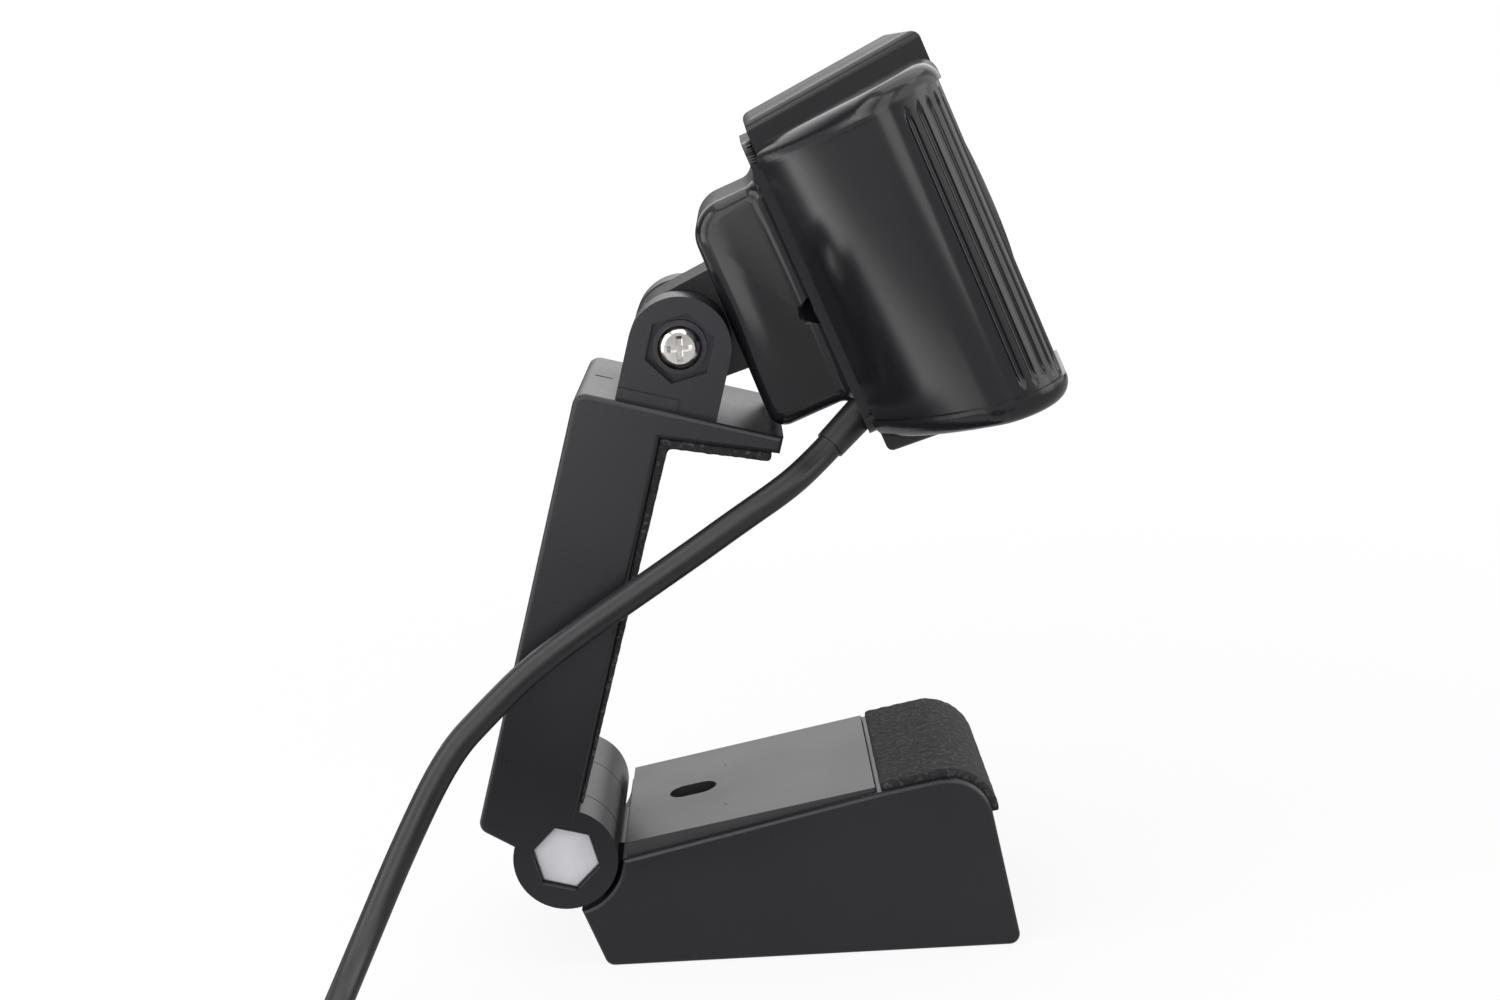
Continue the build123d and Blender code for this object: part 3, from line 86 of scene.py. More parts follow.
Colour = partial(FloatVectorProperty, subtype="COLOR", min=0, max=1)
Length = partial(FloatProperty, unit="LENGTH", precision=5, min=0)
Count = partial(IntProperty, min=1)
Level = partial(FloatProperty, min=0)


class WebcamFinishes(bpy.types.PropertyGroup):
    """Colours of the webcam's finishes."""

    body: Colour(
        name="Body", description="Matt plastic of the arm and base", default=(0.0135, 0.0135, 0.0165),
    )
    head: Colour(
        name="Head", description="Glossy plastic of the head", default=(0.010, 0.010, 0.012),
    )
    plate: Colour(
        name="Plate", description="Satin plastic of the plate on the base", default=(0.046, 0.046, 0.047),
    )
    pad: Colour(
        name="Pad", description="Cellular rubber of the pads", default=(0.014, 0.014, 0.015),
    )
    lead: Colour(name="Lead", description="Jacket of the lead", default=(0.016, 0.016, 0.018))
    zinc: Colour(name="Zinc", description="Plated hexagon bolt", default=(0.76, 0.75, 0.79))


class WebcamSizes(bpy.types.PropertyGroup):
    """Sizes of the pieces that are made here."""

    lead_diameter: Length(
        name="Lead diameter", description="Outside diameter of the lead", default=0.0036,
    )
    pad_grain: Length(
        name="Pad grain", description="Height of the grain on the rubber pads", default=0.00006,
    )
    groove_radius: Length(
        name="Groove radius", description="Radius of the grooves in the head's wings", default=0.0004,
    )
    groove_count: Count(name="Grooves", description="Grooves in each wing", default=9)
    grip_count: Count(name="Grip ribs", description="Ribs round the plug's grip", default=6)


class WebcamStudio(bpy.types.PropertyGroup):
    """Levels of the studio's light."""

    key: Level(name="Key", description="Radiance of the softbox at the left", default=2.6)
    fill: Level(name="Fill", description="Radiance of the softbox at the right", default=1.1)
    top: Level(name="Top", description="Radiance of the softbox overhead", default=1.2)
    around: Level(name="Around", description="Level of the light from all sides", default=0.45)


# Meshes

LATHE_SEGMENTS = 96
MERGE_DISTANCE = 1e-6


def coat(mesh, finish):
    """Gives a mesh this finish alone."""
    mesh.materials.clear()
    mesh.materials.append(finish)


def show(name, mesh, finish=None):
    """New object of a mesh, in the scene, with its finish."""
    piece = bpy.data.objects.new(name, mesh)
    bpy.context.scene.collection.objects.link(piece)
    if finish:
        coat(mesh, finish)
    return piece


def soften(mesh, angle=35):
    """Smooth shading that keeps edges sharper than this many degrees."""
    mesh.shade_smooth()
    mesh.set_sharp_from_angle(angle=math.radians(angle))


def evaluated(piece):
    """Plain mesh of an object with its modifiers applied."""
    bpy.context.view_layer.update()
    graph = bpy.context.evaluated_depsgraph_get()
    return bpy.data.meshes.new_from_object(piece.evaluated_get(graph))


def settle(piece):
    """Leaves the object with its evaluated mesh and no modifiers."""
    mesh = evaluated(piece)
    piece.modifiers.clear()
    old = piece.data
    piece.data = mesh
    bpy.data.meshes.remove(old)
    return mesh


def merged_copy(name):
    """Mesh at work with a node's triangles, joined at their corners."""
    work = bmesh.new()
    work.from_mesh(nodes[name].data)
    bmesh.ops.remove_doubles(work, verts=work.verts, dist=MERGE_DISTANCE)
    return work


def finished(work, name, facing_out=True):
    """Plain mesh of a mesh at work, which is freed."""
    if facing_out:
        bmesh.ops.recalc_face_normals(work, faces=work.faces)
    mesh = bpy.data.meshes.new(name)
    work.to_mesh(mesh)
    work.free()
    return mesh


def circle(segments):
    """Cosine and sine at even steps round a circle."""
    turns = [2 * math.pi * step / segments for step in range(segments)]
    return [(math.cos(turn), math.sin(turn)) for turn in turns]


def skin(work, rings):
    """Faces from each ring of corners to the next. A ring of one corner is a pole."""
    for first, second in zip(rings, rings[1:]):
        count = max(len(first), len(second))
        for step in range(count):
            after = (step + 1) % count
            corners = (
                first[step % len(first)], first[after % len(first)],
                second[after % len(second)], second[step % len(second)],
            )
            work.faces.new(list(dict.fromkeys(corners)))


def lathe(name, profile, place, closed=True):
    """Turned piece: profile points are (forward, radius) in millimetres of its place."""
    work = bmesh.new()
    rings = []
    for forward, radius in profile:
        around = circle(LATHE_SEGMENTS) if radius else [(0, 0)]
        rings.append([work.verts.new((forward, radius * c, radius * s)) for c, s in around])
    skin(work, rings + rings[:1] if closed else rings)
    mesh = finished(work, name)
    mesh.transform(place)
    soften(mesh)
    return mesh


# Finishes

def new_finish(name):
    """Material with its tree, its shader and the Object coordinates."""
    material = bpy.data.materials.new(name)
    material.use_nodes = True
    tree = material.node_tree
    place = tree.nodes.new("ShaderNodeTexCoord").outputs["Object"]
    return material, tree, tree.nodes["Principled BSDF"], place


def feed(tree, made, **inputs):
    """Links a node's inputs to sockets, or sets them to values."""
    for key, value in inputs.items():
        socket = made.inputs[key.replace("_", " ")]
        if isinstance(value, bpy.types.NodeSocket):
            tree.links.new(value, socket)
        else:
            socket.default_value = value


def node(tree, kind, **settings):
    """Node of this kind. A setting names an attribute, or else an input."""
    made = tree.nodes.new(kind)
    for key, value in settings.items():
        if hasattr(made, key):
            setattr(made, key, value)
        else:
            feed(tree, made, **{key: value})
    return made


def math_node(tree, operation, *values):
    """Math node on numbers and sockets."""
    made = node(tree, "ShaderNodeMath", operation=operation)
    for socket, value in zip(made.inputs, values):
        if isinstance(value, (int, float)):
            socket.default_value = value
        else:
            tree.links.new(value, socket)
    return made.outputs["Value"]


def speckle(tree, place, scale, detail=3.0):
    """Noise at this many features to the metre, from 0 to 1."""
    return node(tree, "ShaderNodeTexNoise", Vector=place, Scale=scale, Detail=detail).outputs["Fac"]


def between(tree, value, low, high, start=0.3, end=0.7):
    """Value mapped from start..end to low..high."""
    return node(
        tree, "ShaderNodeMapRange", Value=value, From_Min=start, From_Max=end, To_Min=low, To_Max=high,
    ).outputs["Result"]


def shaded(colour, factor):
    """Colour made darker or lighter, up to white."""
    return tuple(min(1.0, part * factor) for part in colour)


def mixed(tree, share, low, high, kind="FLOAT"):
    """Number or colour between two, by a share."""
    return node(tree, "ShaderNodeMix", data_type=kind, Factor=share, A=low, B=high).outputs["Result"]


def two_tone(tree, share, colour, dark, light):
    """Colour between a darker and a lighter shade of one, by a share."""
    return mixed(tree, share, (*shaded(colour, dark), 1), (*shaded(colour, light), 1), "RGBA")


def raise_grain(tree, shader, height, distance, strength=0.4):
    """Bump from a height field, in metres."""
    bump = node(tree, "ShaderNodeBump", Height=height, Strength=strength, Distance=distance)
    feed(tree, shader, Normal=bump.outputs["Normal"])


def moulded(name, colour, roughness, spread, grain, height, mottle=0.12, strength=0.4):
    """Moulded plastic: fine spark-eroded grain, and patches a little duller than others."""
    material, tree, shader, place = new_finish(name)
    fine = speckle(tree, place, grain)
    patches = speckle(tree, place, 60, 5)
    tone = two_tone(tree, patches, colour, 1 - mottle, 1 + mottle)
    rough = between(tree, patches, roughness - spread, roughness + spread)
    feed(tree, shader, Base_Color=tone, Roughness=rough)
    raise_grain(tree, shader, fine, height, strength)
    return material


def plated(name, colour, roughness, grain=1800, height=0.00001, metal=1.0):
    """Plated or turned metal with a fine tooling grain."""
    material, tree, shader, place = new_finish(name)
    fine = speckle(tree, place, grain, 2)
    cloud = speckle(tree, place, 350, 4)
    tone = two_tone(tree, cloud, colour, 0.9, 1.06)
    rough = between(tree, cloud, roughness * 0.75, roughness * 1.3)
    feed(tree, shader, Base_Color=tone, Roughness=rough, Metallic=metal)
    raise_grain(tree, shader, fine, height, 0.25)
    return material


def cellular(name, colour):
    """Cellular rubber: matt, with open pores and a few pale specks painted in as glints."""
    material, tree, shader, place = new_finish(name)
    pores = node(tree, "ShaderNodeTexVoronoi", feature="F1", Vector=place, Scale=1100)
    fine = speckle(tree, place, 2400, 4)
    # Pale specks painted into the colour stand in for glints of light on the pores.
    painted_glints = between(tree, speckle(tree, place, 1500, 2), 0, 1, 0.54, 0.68)
    tone = two_tone(tree, painted_glints, colour, 0.7, 4.0)
    feed(tree, shader, Base_Color=tone, Roughness=between(tree, fine, 0.7, 0.95))
    height = math_node(tree, "MULTIPLY_ADD", pores.outputs["Distance"], 0.7, fine)
    raise_grain(tree, shader, height, 0.00012, 0.8)
    return material


def jacket(name, colour):
    """Soft plastic jacket of the lead, with faint lines along it from its drawing."""
    material, tree, shader, place = new_finish(name)
    along = node(tree, "ShaderNodeUVMap", uv_map="along").outputs["UV"]
    stretch = node(tree, "ShaderNodeMapping", Vector=along, Scale=(60, 40, 1))
    lines = speckle(tree, stretch.outputs["Vector"], 1, 3)
    cloud = speckle(tree, place, 120, 4)
    tone = two_tone(tree, cloud, colour, 0.8, 1.25)
    feed(tree, shader, Base_Color=tone, Roughness=between(tree, cloud, 0.30, 0.42))
    raise_grain(tree, shader, lines, 0.00002, 0.4)
    return material


def lens_glass(name, tint, coating):
    """Clear glass with a thin coloured coating that is uneven towards its rim."""
    material, tree, shader, place = new_finish(name)
    cloud = speckle(tree, place, 90, 3)
    feed(
        tree, shader, Base_Color=two_tone(tree, cloud, tint, 1, 1.1),
        Roughness=between(tree, cloud, 0.01, 0.03), Transmission_Weight=1.0, IOR=1.5,
        Coat_Weight=0.6, Coat_Tint=(*coating, 1), Coat_Roughness=0.02,
    )
    return material


def circuit(name):
    """Green solder mask over copper tracks."""
    material, tree, shader, place = new_finish(name)
    tracks = node(
        tree, "ShaderNodeTexBrick", Vector=place, Scale=260, Mortar_Size=0.03,
        Color1=(0.010, 0.085, 0.035, 1), Color2=(0.013, 0.100, 0.040, 1), Mortar=(0.030, 0.170, 0.070, 1),
    ).outputs
    rough = between(tree, speckle(tree, place, 900), 0.28, 0.42)
    feed(tree, shader, Base_Color=tracks["Color"], Roughness=rough)
    raise_grain(tree, shader, tracks["Fac"], 0.00003, 0.5)
    return material


def woven(name, colour):
    """Woven nylon strap: two crossing sets of ribs."""
    material, tree, shader, place = new_finish(name)
    ribs = [
        node(
            tree, "ShaderNodeTexWave", bands_direction=direction, Vector=place, Scale=420, Distortion=0.4,
        ).outputs["Fac"]
        for direction in "XY"
    ]
    weave = math_node(tree, "MULTIPLY", *ribs)
    tone = two_tone(tree, weave, colour, 0.6, 1.6)
    rough = between(tree, weave, 0.65, 0.9, 0, 1)
    feed(tree, shader, Base_Color=tone, Roughness=rough, Sheen_Weight=0.2)
    raise_grain(tree, shader, weave, 0.0001, 0.7)
    return material


finishes = {}


def make_finishes(colours):
    """Every finish of the webcam, by name."""
    finishes.update({
        "body": moulded("body plastic", colours.body, 0.30, 0.04, 2600, 0.00003),
        "head": moulded("head plastic", colours.head, 0.17, 0.03, 500, 0.000006, 0.1, 0.2),
        "panel": moulded("panel acrylic", shaded(colours.head, 0.8), 0.07, 0.02, 300, 0.000002, 0.1, 0.1),
        "plate": moulded("plate plastic", colours.plate, 0.32, 0.04, 2200, 0.00002),
        "relief": moulded("relief rubber", colours.lead, 0.36, 0.05, 1500, 0.00002),
        "pad": cellular("pad rubber", colours.pad),
        "lead": jacket("lead jacket", colours.lead),
        "zinc": plated("zinc plate", colours.zinc, 0.45, metal=0.15),
        "nickel": plated("nickel plate", (0.80, 0.78, 0.75), 0.16),
        "brass": plated("brass", (0.78, 0.55, 0.24), 0.26),
        "black_oxide": plated("black oxide", (0.060, 0.060, 0.066), 0.34),
        "nylon": moulded("nylon", (0.62, 0.60, 0.54), 0.45, 0.06, 1400, 0.00002),
        "barrel": moulded("lens barrel", (0.016, 0.016, 0.017), 0.34, 0.05, 2400, 0.00003),
        "glass": lens_glass("lens glass", (0.96, 0.97, 1.0), (0.55, 0.42, 0.85)),
        "inner_glass": lens_glass("inner lens glass", (0.85, 0.95, 0.90), (0.30, 0.75, 0.55)),
        "filter": lens_glass("filter glass", (0.75, 0.92, 0.88), (0.80, 0.35, 0.40)),
        "board": circuit("board"),
        "chip": moulded("chip", (0.022, 0.022, 0.024), 0.40, 0.06, 1900, 0.00003),
        "guide": moulded("light guide", (0.78, 0.79, 0.80), 0.22, 0.04, 700, 0.00001),
        "contact": moulded("plug insulator", (0.82, 0.82, 0.80), 0.40, 0.05, 1200, 0.00002),
        "strap": woven("strap nylon", (0.018, 0.018, 0.020)),
    })
    finishes["guide"].node_tree.nodes["Principled BSDF"].inputs["Subsurface Weight"].default_value = 0.3


NODE_FINISHES = {
    "body": ("base_shell", "arm_shell", "arm_cover"),
    "head": ("rear_cover", "head_core", "side_cover_left", "side_cover_right"),
    "panel": ("front_panel",),
    "plate": ("base_plate",),
    "relief": ("strain_relief", "microphone_boots", "plug_body"),
    "pad": ("base_pad", "arm_pad"),
    "lead": ("cable_upper", "cable_lower", "cable_coil", "cable_tail"),
    "zinc": ("hinge_bolt", "hinge_nut"),
    "nickel": ("tilt_screw", "tilt_nut", "plug_shell", "microphones"),
    "black_oxide": (
        "base_plate_screws", "arm_cover_screws", "rear_cover_screws", "pcb_screws", "tilt_screw_washer",
    ),
    "brass": ("tripod_insert",),
    "nylon": ("tilt_friction_washers", "usb_header"),
    "barrel": ("lens_barrel", "lens_holder", "lens_ring"),
    "glass": ("front_lens",),
    "filter": ("ir_filter",),
    "board": ("main_pcb",),
    "chip": ("image_sensor",),
    "guide": ("light_pipe", "status_led"),
    "contact": ("plug_tongue",),
    "strap": ("cable_tie",),
}


class WEBCAM_OT_finishes(bpy.types.Operator):
    """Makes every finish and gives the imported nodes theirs"""

    bl_idname = "webcam.finishes"
    bl_label = "Finishes"

    def execute(self, context):
        make_finishes(context.scene.webcam_finishes)
        for finish, names in NODE_FINISHES.items():
            for name in names:
                coat(nodes[name].data, finishes[finish])
        return {"FINISHED"}


# Stage

CAMERA_PITCH = 11.946
CAMERA_ROLL = 3.382
CAMERA_PLACE = (-0.00562, -0.2785, 0.11859)
CAMERA_LENS = 50
CAMERA_SENSOR = 36


def stand(scene, name, data, place, across, up):
    """Puts a camera or a lamp in the scene, with its own X and Y turned these ways."""
    thing = bpy.data.objects.new(name, data)
    scene.collection.objects.link(thing)
    turn = Matrix((across, up, across.cross(up))).transposed().to_4x4()
    thing.matrix_world = Matrix.Translation(place) @ turn
    return thing


def make_camera(scene):
    """Camera where the photograph's stood, at the same height, tilt and roll."""
    pitch, roll = math.radians(CAMERA_PITCH), math.radians(CAMERA_ROLL)
    right = Vector((1, 0, 0))
    level = Vector((0, math.sin(pitch), math.cos(pitch)))
    across = right * math.cos(roll) - level * math.sin(roll)
    up = right * math.sin(roll) + level * math.cos(roll)
    data = bpy.data.cameras.new("photo camera")
    data.lens = CAMERA_LENS
    data.sensor_width = CAMERA_SENSOR
    data.clip_start = 0.01
    data.clip_end = 50
    scene.camera = stand(scene, "photo_camera", data, CAMERA_PLACE, across, up)


def rays(tree):
    """Whether a ray is the camera's, also through glass, and whether it is a reflection's."""
    ray = node(tree, "ShaderNodeLightPath").outputs
    return math_node(tree, "MAXIMUM", ray["Is Camera Ray"], ray["Is Transmission Ray"]), ray["Is Glossy Ray"]


def mixed_shader(tree, share, first, second):
    """Shader between two, by a share."""
    made = node(tree, "ShaderNodeMixShader", Fac=share)
    for socket, source in zip(made.inputs[1:], (first, second)):
        tree.links.new(source.outputs[0], socket)
    return made


# The floor for the camera: its white, and the share of white from the webcam outwards, in metres.
FLOOR_REACH = 3.0
WHITE_LEVEL = 1.03
WHITE_SHARE = (0.86, 1.0, 0.12, 0.45)
# Levels of the floor in reflections, and its strip at the left, in metres.
FLOOR_LEVEL = 0.5
DARK_LEVEL = 0.08
STRIP_LEVEL = 2.4
STRIP_WIDTH = 0.085
STRIP_SLOPE = -0.952
STRIP_EDGE = -0.0914
STRIP_BLUR = 0.002
STRIP_END = (-0.11, -0.07)


def make_floor():
    """White floor: plain white where it is seen, with a faint shadow of the webcam."""
    work = bmesh.new()
    corners = ((-1, -1), (1, -1), (1, 1), (-1, 1))
    work.faces.new([work.verts.new((x * FLOOR_REACH, y * FLOOR_REACH, 0)) for x, y in corners])
    material, tree, shader, place = new_finish("floor white")
    shade = between(tree, speckle(tree, place, 8, 2), 0.80, 0.82)
    tone = node(tree, "ShaderNodeCombineColor", Red=shade, Green=shade, Blue=shade).outputs["Color"]
    feed(tree, shader, Base_Color=tone, Roughness=0.8, Specular_IOR_Level=0.1)
    seen, reflected = rays(tree)
    # Plain white for the camera, with some of the real floor near the webcam for its shadow.
    white = node(tree, "ShaderNodeEmission", Strength=WHITE_LEVEL)
    distance = node(tree, "ShaderNodeVectorMath", operation="LENGTH", Vector=place).outputs["Value"]
    share = math_node(tree, "MULTIPLY", seen, between(tree, distance, *WHITE_SHARE))
    plain = mixed_shader(tree, share, shader, white)
    # Reflections show the floor's bright strip at the left, which ends in a sharp edge.
    parts = node(tree, "ShaderNodeSeparateXYZ", Vector=place).outputs
    edge = math_node(tree, "MULTIPLY_ADD", parts["X"], STRIP_SLOPE, STRIP_EDGE)
    inside = math_node(tree, "SUBTRACT", edge, parts["Y"])
    fading = between(tree, inside, STRIP_LEVEL, FLOOR_LEVEL, 0, STRIP_WIDTH)
    lit = between(tree, inside, 0.0, 1.0, -STRIP_BLUR, STRIP_BLUR)
    strip = mixed(tree, lit, DARK_LEVEL, fading)
    left = between(tree, parts["X"], 1.0, 0.0, *STRIP_END)
    glow = node(tree, "ShaderNodeEmission", Strength=mixed(tree, left, FLOOR_LEVEL, strip))
    both = mixed_shader(tree, reflected, plain, glow)
    feed(tree, tree.nodes["Material Output"], Surface=both.outputs[0])
    show("floor", finished(work, "floor", facing_out=False), material)


# Studio in reflections: two levels of each part, and where it goes from one to the other.
BACKDROP = (0.0, 1.5, 0.3, 0.75)
BACKDROP_FOOT = (0.10, 1.0, 0.09, 0.17)
RIGHT_WAY = (0.866, -0.5)
RIGHT_WALL = (0.0, 1.0, 0.2, 0.5)
RIGHT_RISE = (0.55, 1.8, 0.0, 0.2)
CEILING = (0.08, 0.8, 0.45, 0.9)


def make_world(scene, level):
    """White all round for the camera, a dim studio with a bright backdrop for reflections."""
    scene.world = bpy.data.worlds.new("studio")
    scene.world.use_nodes = True
    tree = scene.world.node_tree
    calc = partial(math_node, tree)
    way = node(tree, "ShaderNodeTexCoord").outputs["Generated"]
    x, y, z = node(tree, "ShaderNodeSeparateXYZ", Vector=way).outputs
    backdrop = calc("MULTIPLY", between(tree, y, *BACKDROP), between(tree, z, *BACKDROP_FOOT))
    facing = calc("MULTIPLY_ADD", x, RIGHT_WAY[0], calc("MULTIPLY", y, RIGHT_WAY[1]))
    right = calc("MULTIPLY", between(tree, facing, *RIGHT_WALL), between(tree, z, *RIGHT_RISE))
    studio = calc("MAXIMUM", calc("MAXIMUM", backdrop, right), between(tree, z, *CEILING))
    seen, reflected = rays(tree)
    strength = mixed(tree, seen, mixed(tree, reflected, level, studio), 1.0)
    feed(tree, tree.nodes["Background"], Strength=strength, Color=(1, 1, 1, 1))


def softbox(scene, name, middle, aim, width, height, radiance):
    """Rectangular light of this radiance, facing the point that it is aimed at."""
    data = bpy.data.lights.new(name, "AREA")
    data.shape = "RECTANGLE"
    data.size = width
    data.size_y = height
    data.energy = radiance * width * height * math.pi
    back = (Vector(middle) - Vector(aim)).normalized()
    across = Vector((0, 0, 1)).cross(back).normalized()
    stand(scene, name, data, middle, across, back.cross(across)).visible_camera = False


# Strips of the key softbox: degrees to the left of the camera, and share of its radiance.
KEY_STRIPS = ((8, 36, 0.7), (36, 48, 0.25), (48, 60, 0.55), (60, 73, 0.85), (73, 87, 1.0))
KEY_DISTANCE = 0.36
KEY_HEIGHT = 0.5
# The other softboxes: middle, aim, width and height.
FILL_BOX = ((0.46, -0.22, 0.22), (0, 0, 0.1), 0.30, 0.40)
TOP_BOX = ((0.0, 0.05, 0.65), (0, 0, 0), 0.60, 0.60)


def make_lights(scene, studio):
    """Key softbox at the left, standing on the floor, a fill at the right and one overhead."""
    aim = Vector((0, 0, KEY_HEIGHT / 2))
    for number, (start, end, share) in enumerate(KEY_STRIPS):
        turn = math.radians((start + end) / 2)
        place = aim + Vector((-math.sin(turn), -math.cos(turn), 0)) * KEY_DISTANCE
        width = 2 * KEY_DISTANCE * math.tan(math.radians((end - start) / 2))
        softbox(scene, f"key {number + 1}", place, aim, width, KEY_HEIGHT, studio.key * share)
    softbox(scene, "fill", *FILL_BOX, studio.fill)
    softbox(scene, "top", *TOP_BOX, studio.top)


class WEBCAM_OT_stage(bpy.types.Operator):
    """Sets up the camera, the white floor, the world and the softboxes"""

    bl_idname = "webcam.stage"
    bl_label = "Stage"

    def execute(self, context):
        scene = context.scene
        scene.view_settings.view_transform = "Standard"
        make_camera(scene)
        make_floor()
        make_world(scene, scene.webcam_studio.around)
        make_lights(scene, scene.webcam_studio)
        return {"FINISHED"}


# Lead

RELIEF_END = (5.047, -15.052, 69.425)
MEETING = (-25.285, -20.64, 50.02)
UPPER_ROUTE = (
    RELIEF_END, (3.3, -15.9, 67.9), (-0.6, -18.9, 65.2), (-7.1, -20.4, 61.5), (-15, -20.6, 56.4), MEETING,
)
LOWER_ROUTE = (
    MEETING, (-33.7, -21, 44.8), (-40.8, -22, 38.6), (-46.2, -23.5, 33.6), (-52.5, -26, 22.5),
    (-58, -30.5, 11.5), (-61.5, -39, 4.6), (-62.4, -51, 2.9), (-63, -64, 2.9), (-63, -74.2, 2.9),
)
TAIL_ROUTE = ((-22.1, -111, 7), (-10, -109, 3.9), (-3, -109, 3.9))
COIL_MIDDLE_Y = -82.0
COIL_START_X = -63.0
COIL_RADIUS = 29.0
COIL_STEP = 2.05
COIL_LAYERS = (2.9, 7.0)
HALF_TURNS_IN = 9
HALF_TURNS_OUT = 8
POINTS_PER_HALF_TURN = 6


def coil_route():
    """Control points of the coil: half turns that wind in, climb and wind out again."""
    low, high = COIL_LAYERS
    halves = [(COIL_RADIUS - COIL_STEP * turn, low, low) for turn in range(HALF_TURNS_IN)]
    climb = COIL_RADIUS - COIL_STEP * HALF_TURNS_IN
    halves.append((climb, low, high))
    halves += [(climb + COIL_STEP * (turn + 1), high, high) for turn in range(HALF_TURNS_OUT)]
    halves.append((COIL_RADIUS, high, high))
    step = math.pi / POINTS_PER_HALF_TURN
    points = []
    x, heading = COIL_START_X, 1
    for number, (radius, start, end) in enumerate(halves):
        middle = x + heading * radius
        last = number == len(halves) - 1
        for point in range(POINTS_PER_HALF_TURN // 2 if last else POINTS_PER_HALF_TURN):
            turn = (point + 0.5) * step
            reach = radius / math.cos(step / 2)
            points.append((
                middle - heading * reach * math.cos(turn),
                COIL_MIDDLE_Y - heading * reach * math.sin(turn),
                start + (end - start) * turn / math.pi,
            ))
        x = middle + heading * radius
        heading = -heading
    return points


def smooth_line(route):
    """Points of the NURBS curve that has this route, in millimetres, as its control points."""
    data = bpy.data.curves.new("route", "CURVE")
    data.dimensions = "3D"
    data.resolution_u = 8
    line = data.splines.new("NURBS")
    line.points.add(len(route) - 1)
    for point, place in zip(line.points, route):
        point.co = (*(Vector(place) * MM), 1)
    line.order_u = 3
    line.use_endpoint_u = True
    guide = bpy.data.objects.new("route", data)
    bpy.context.scene.collection.objects.link(guide)
    mesh = evaluated(guide)
    points = [vertex.co.copy() for vertex in mesh.vertices]
    bpy.data.objects.remove(guide)
    bpy.data.curves.remove(data)
    bpy.data.meshes.remove(mesh)
    return points


def tube(name, path, radius, finish, sides=20):
    """Round tube with closed ends; its UV map has the way round in U and metres along in V."""
    work = bmesh.new()
    chart = work.loops.layers.uv.new("along")
    side = Vector((0, 0, 1))
    rings, distances = [], [0.0]
    for number, point in enumerate(path):
        before, after = path[max(number - 1, 0)], path[min(number + 1, len(path) - 1)]
        ahead = (after - before).normalized()
        side = (side - ahead * side.dot(ahead)).normalized()
        other = ahead.cross(side)
        if number:
            distances.append(distances[-1] + (point - before).length)
        rings.append([work.verts.new(point + (side * c + other * s) * radius) for c, s in circle(sides)])
    skin(work, rings)
    for number, face in enumerate(work.faces):
        ring, step = divmod(number, sides)
        corners = ((step, ring), (step + 1, ring), (step + 1, ring + 1), (step, ring + 1))
        for loop, (way, length) in zip(face.loops, corners):
            loop[chart].uv = (way / sides, distances[length])
    work.faces.new(list(reversed(rings[0])))
    work.faces.new(rings[-1])
    mesh = finished(work, name)
    soften(mesh, 50)
    return show(name, mesh, finish), distances[-1]


class WEBCAM_OT_lead(bpy.types.Operator):
    """Lays the lead from its relief down the arm to its coil and plug"""

    bl_idname = "webcam.lead"
    bl_label = "Lead"

    def execute(self, context):
        diameter = context.scene.webcam_sizes.lead_diameter
        finish = finishes["lead"]
        upper_path = smooth_line(UPPER_ROUTE)
        upper, upper_length = tube("lead_upper", upper_path, diameter / 2, finish)
        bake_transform(upper)
        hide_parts("cable_upper")
        lower_path = smooth_line((*LOWER_ROUTE, *coil_route(), *TAIL_ROUTE))
        lower, lower_length = tube("lead_lower", lower_path, diameter / 2, finish, 16)
        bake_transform(lower)
        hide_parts("cable_lower", "cable_coil", "cable_tail")
        plug = [nodes[name] for name in ("plug_body", "plug_shell", "plug_tongue")]
        plug += [bpy.data.objects[name] for name in ("plug_grips", "lead_strap")]
        return {"FINISHED"}


# Geometry Nodes

def new_tree(name, **inputs):
    """Geometry tree with a geometry input, these inputs of a kind, and a geometry output."""
    tree = bpy.data.node_groups.new(name, "GeometryNodeTree")
    sockets = tree.interface
    sockets.new_socket("Geometry", in_out="INPUT", socket_type="NodeSocketGeometry")
    for kind, labels in inputs.items():
        for label in labels:
            sockets.new_socket(label, in_out="INPUT", socket_type="NodeSocket" + kind)
    sockets.new_socket("Finish", in_out="INPUT", socket_type="NodeSocketMaterial")
    sockets.new_socket("Geometry", in_out="OUTPUT", socket_type="NodeSocketGeometry")
    return tree, tree.nodes.new("NodeGroupInput").outputs


def close_tree(tree, geometry, finish):
    """Ends a tree in Realize Instances and Set Material."""
    real = node(tree, "GeometryNodeRealizeInstances", Geometry=geometry).outputs["Geometry"]
    dressed = node(tree, "GeometryNodeSetMaterial", Geometry=real, Material=finish).outputs["Geometry"]
    node(tree, "NodeGroupOutput", Geometry=dressed)
    return tree


def grow(piece, tree, values):
    """Puts a tree on a piece, with its named inputs set."""
    modifier = piece.modifiers.new(tree.name, "NODES")
    modifier.node_group = tree
    for item in tree.interface.items_tree:
        if item.in_out == "INPUT" and item.name in values:
            modifier[item.identifier] = values[item.name]


# Wings of the head

WING_ROOT = (19.0, 20.0)
WING_SHOULDER = (31.492, 38.326)
WING_FLANK_MIDDLE = (68.916, -0.605)
WING_FLANK_RADIUS = 54.0
WING_NOSE_MIDDLE = (35.65, 34.0)
WING_NOSE_RADIUS = 6.0
WING_NOSE_END = (41.627, 34.524)
WING_FRONT = (42.9, 20.0)
WING_LOW = -17.8
WING_HIGH = 16.6
WING_RISE = 0.078
WING_DROP = 0.05
WING_WALL = 1.6
FIRST_GROOVE_ANGLE = 8.0
GROOVE_STEP_ANGLE = 14.5
GROOVE_MARGIN = 1.3
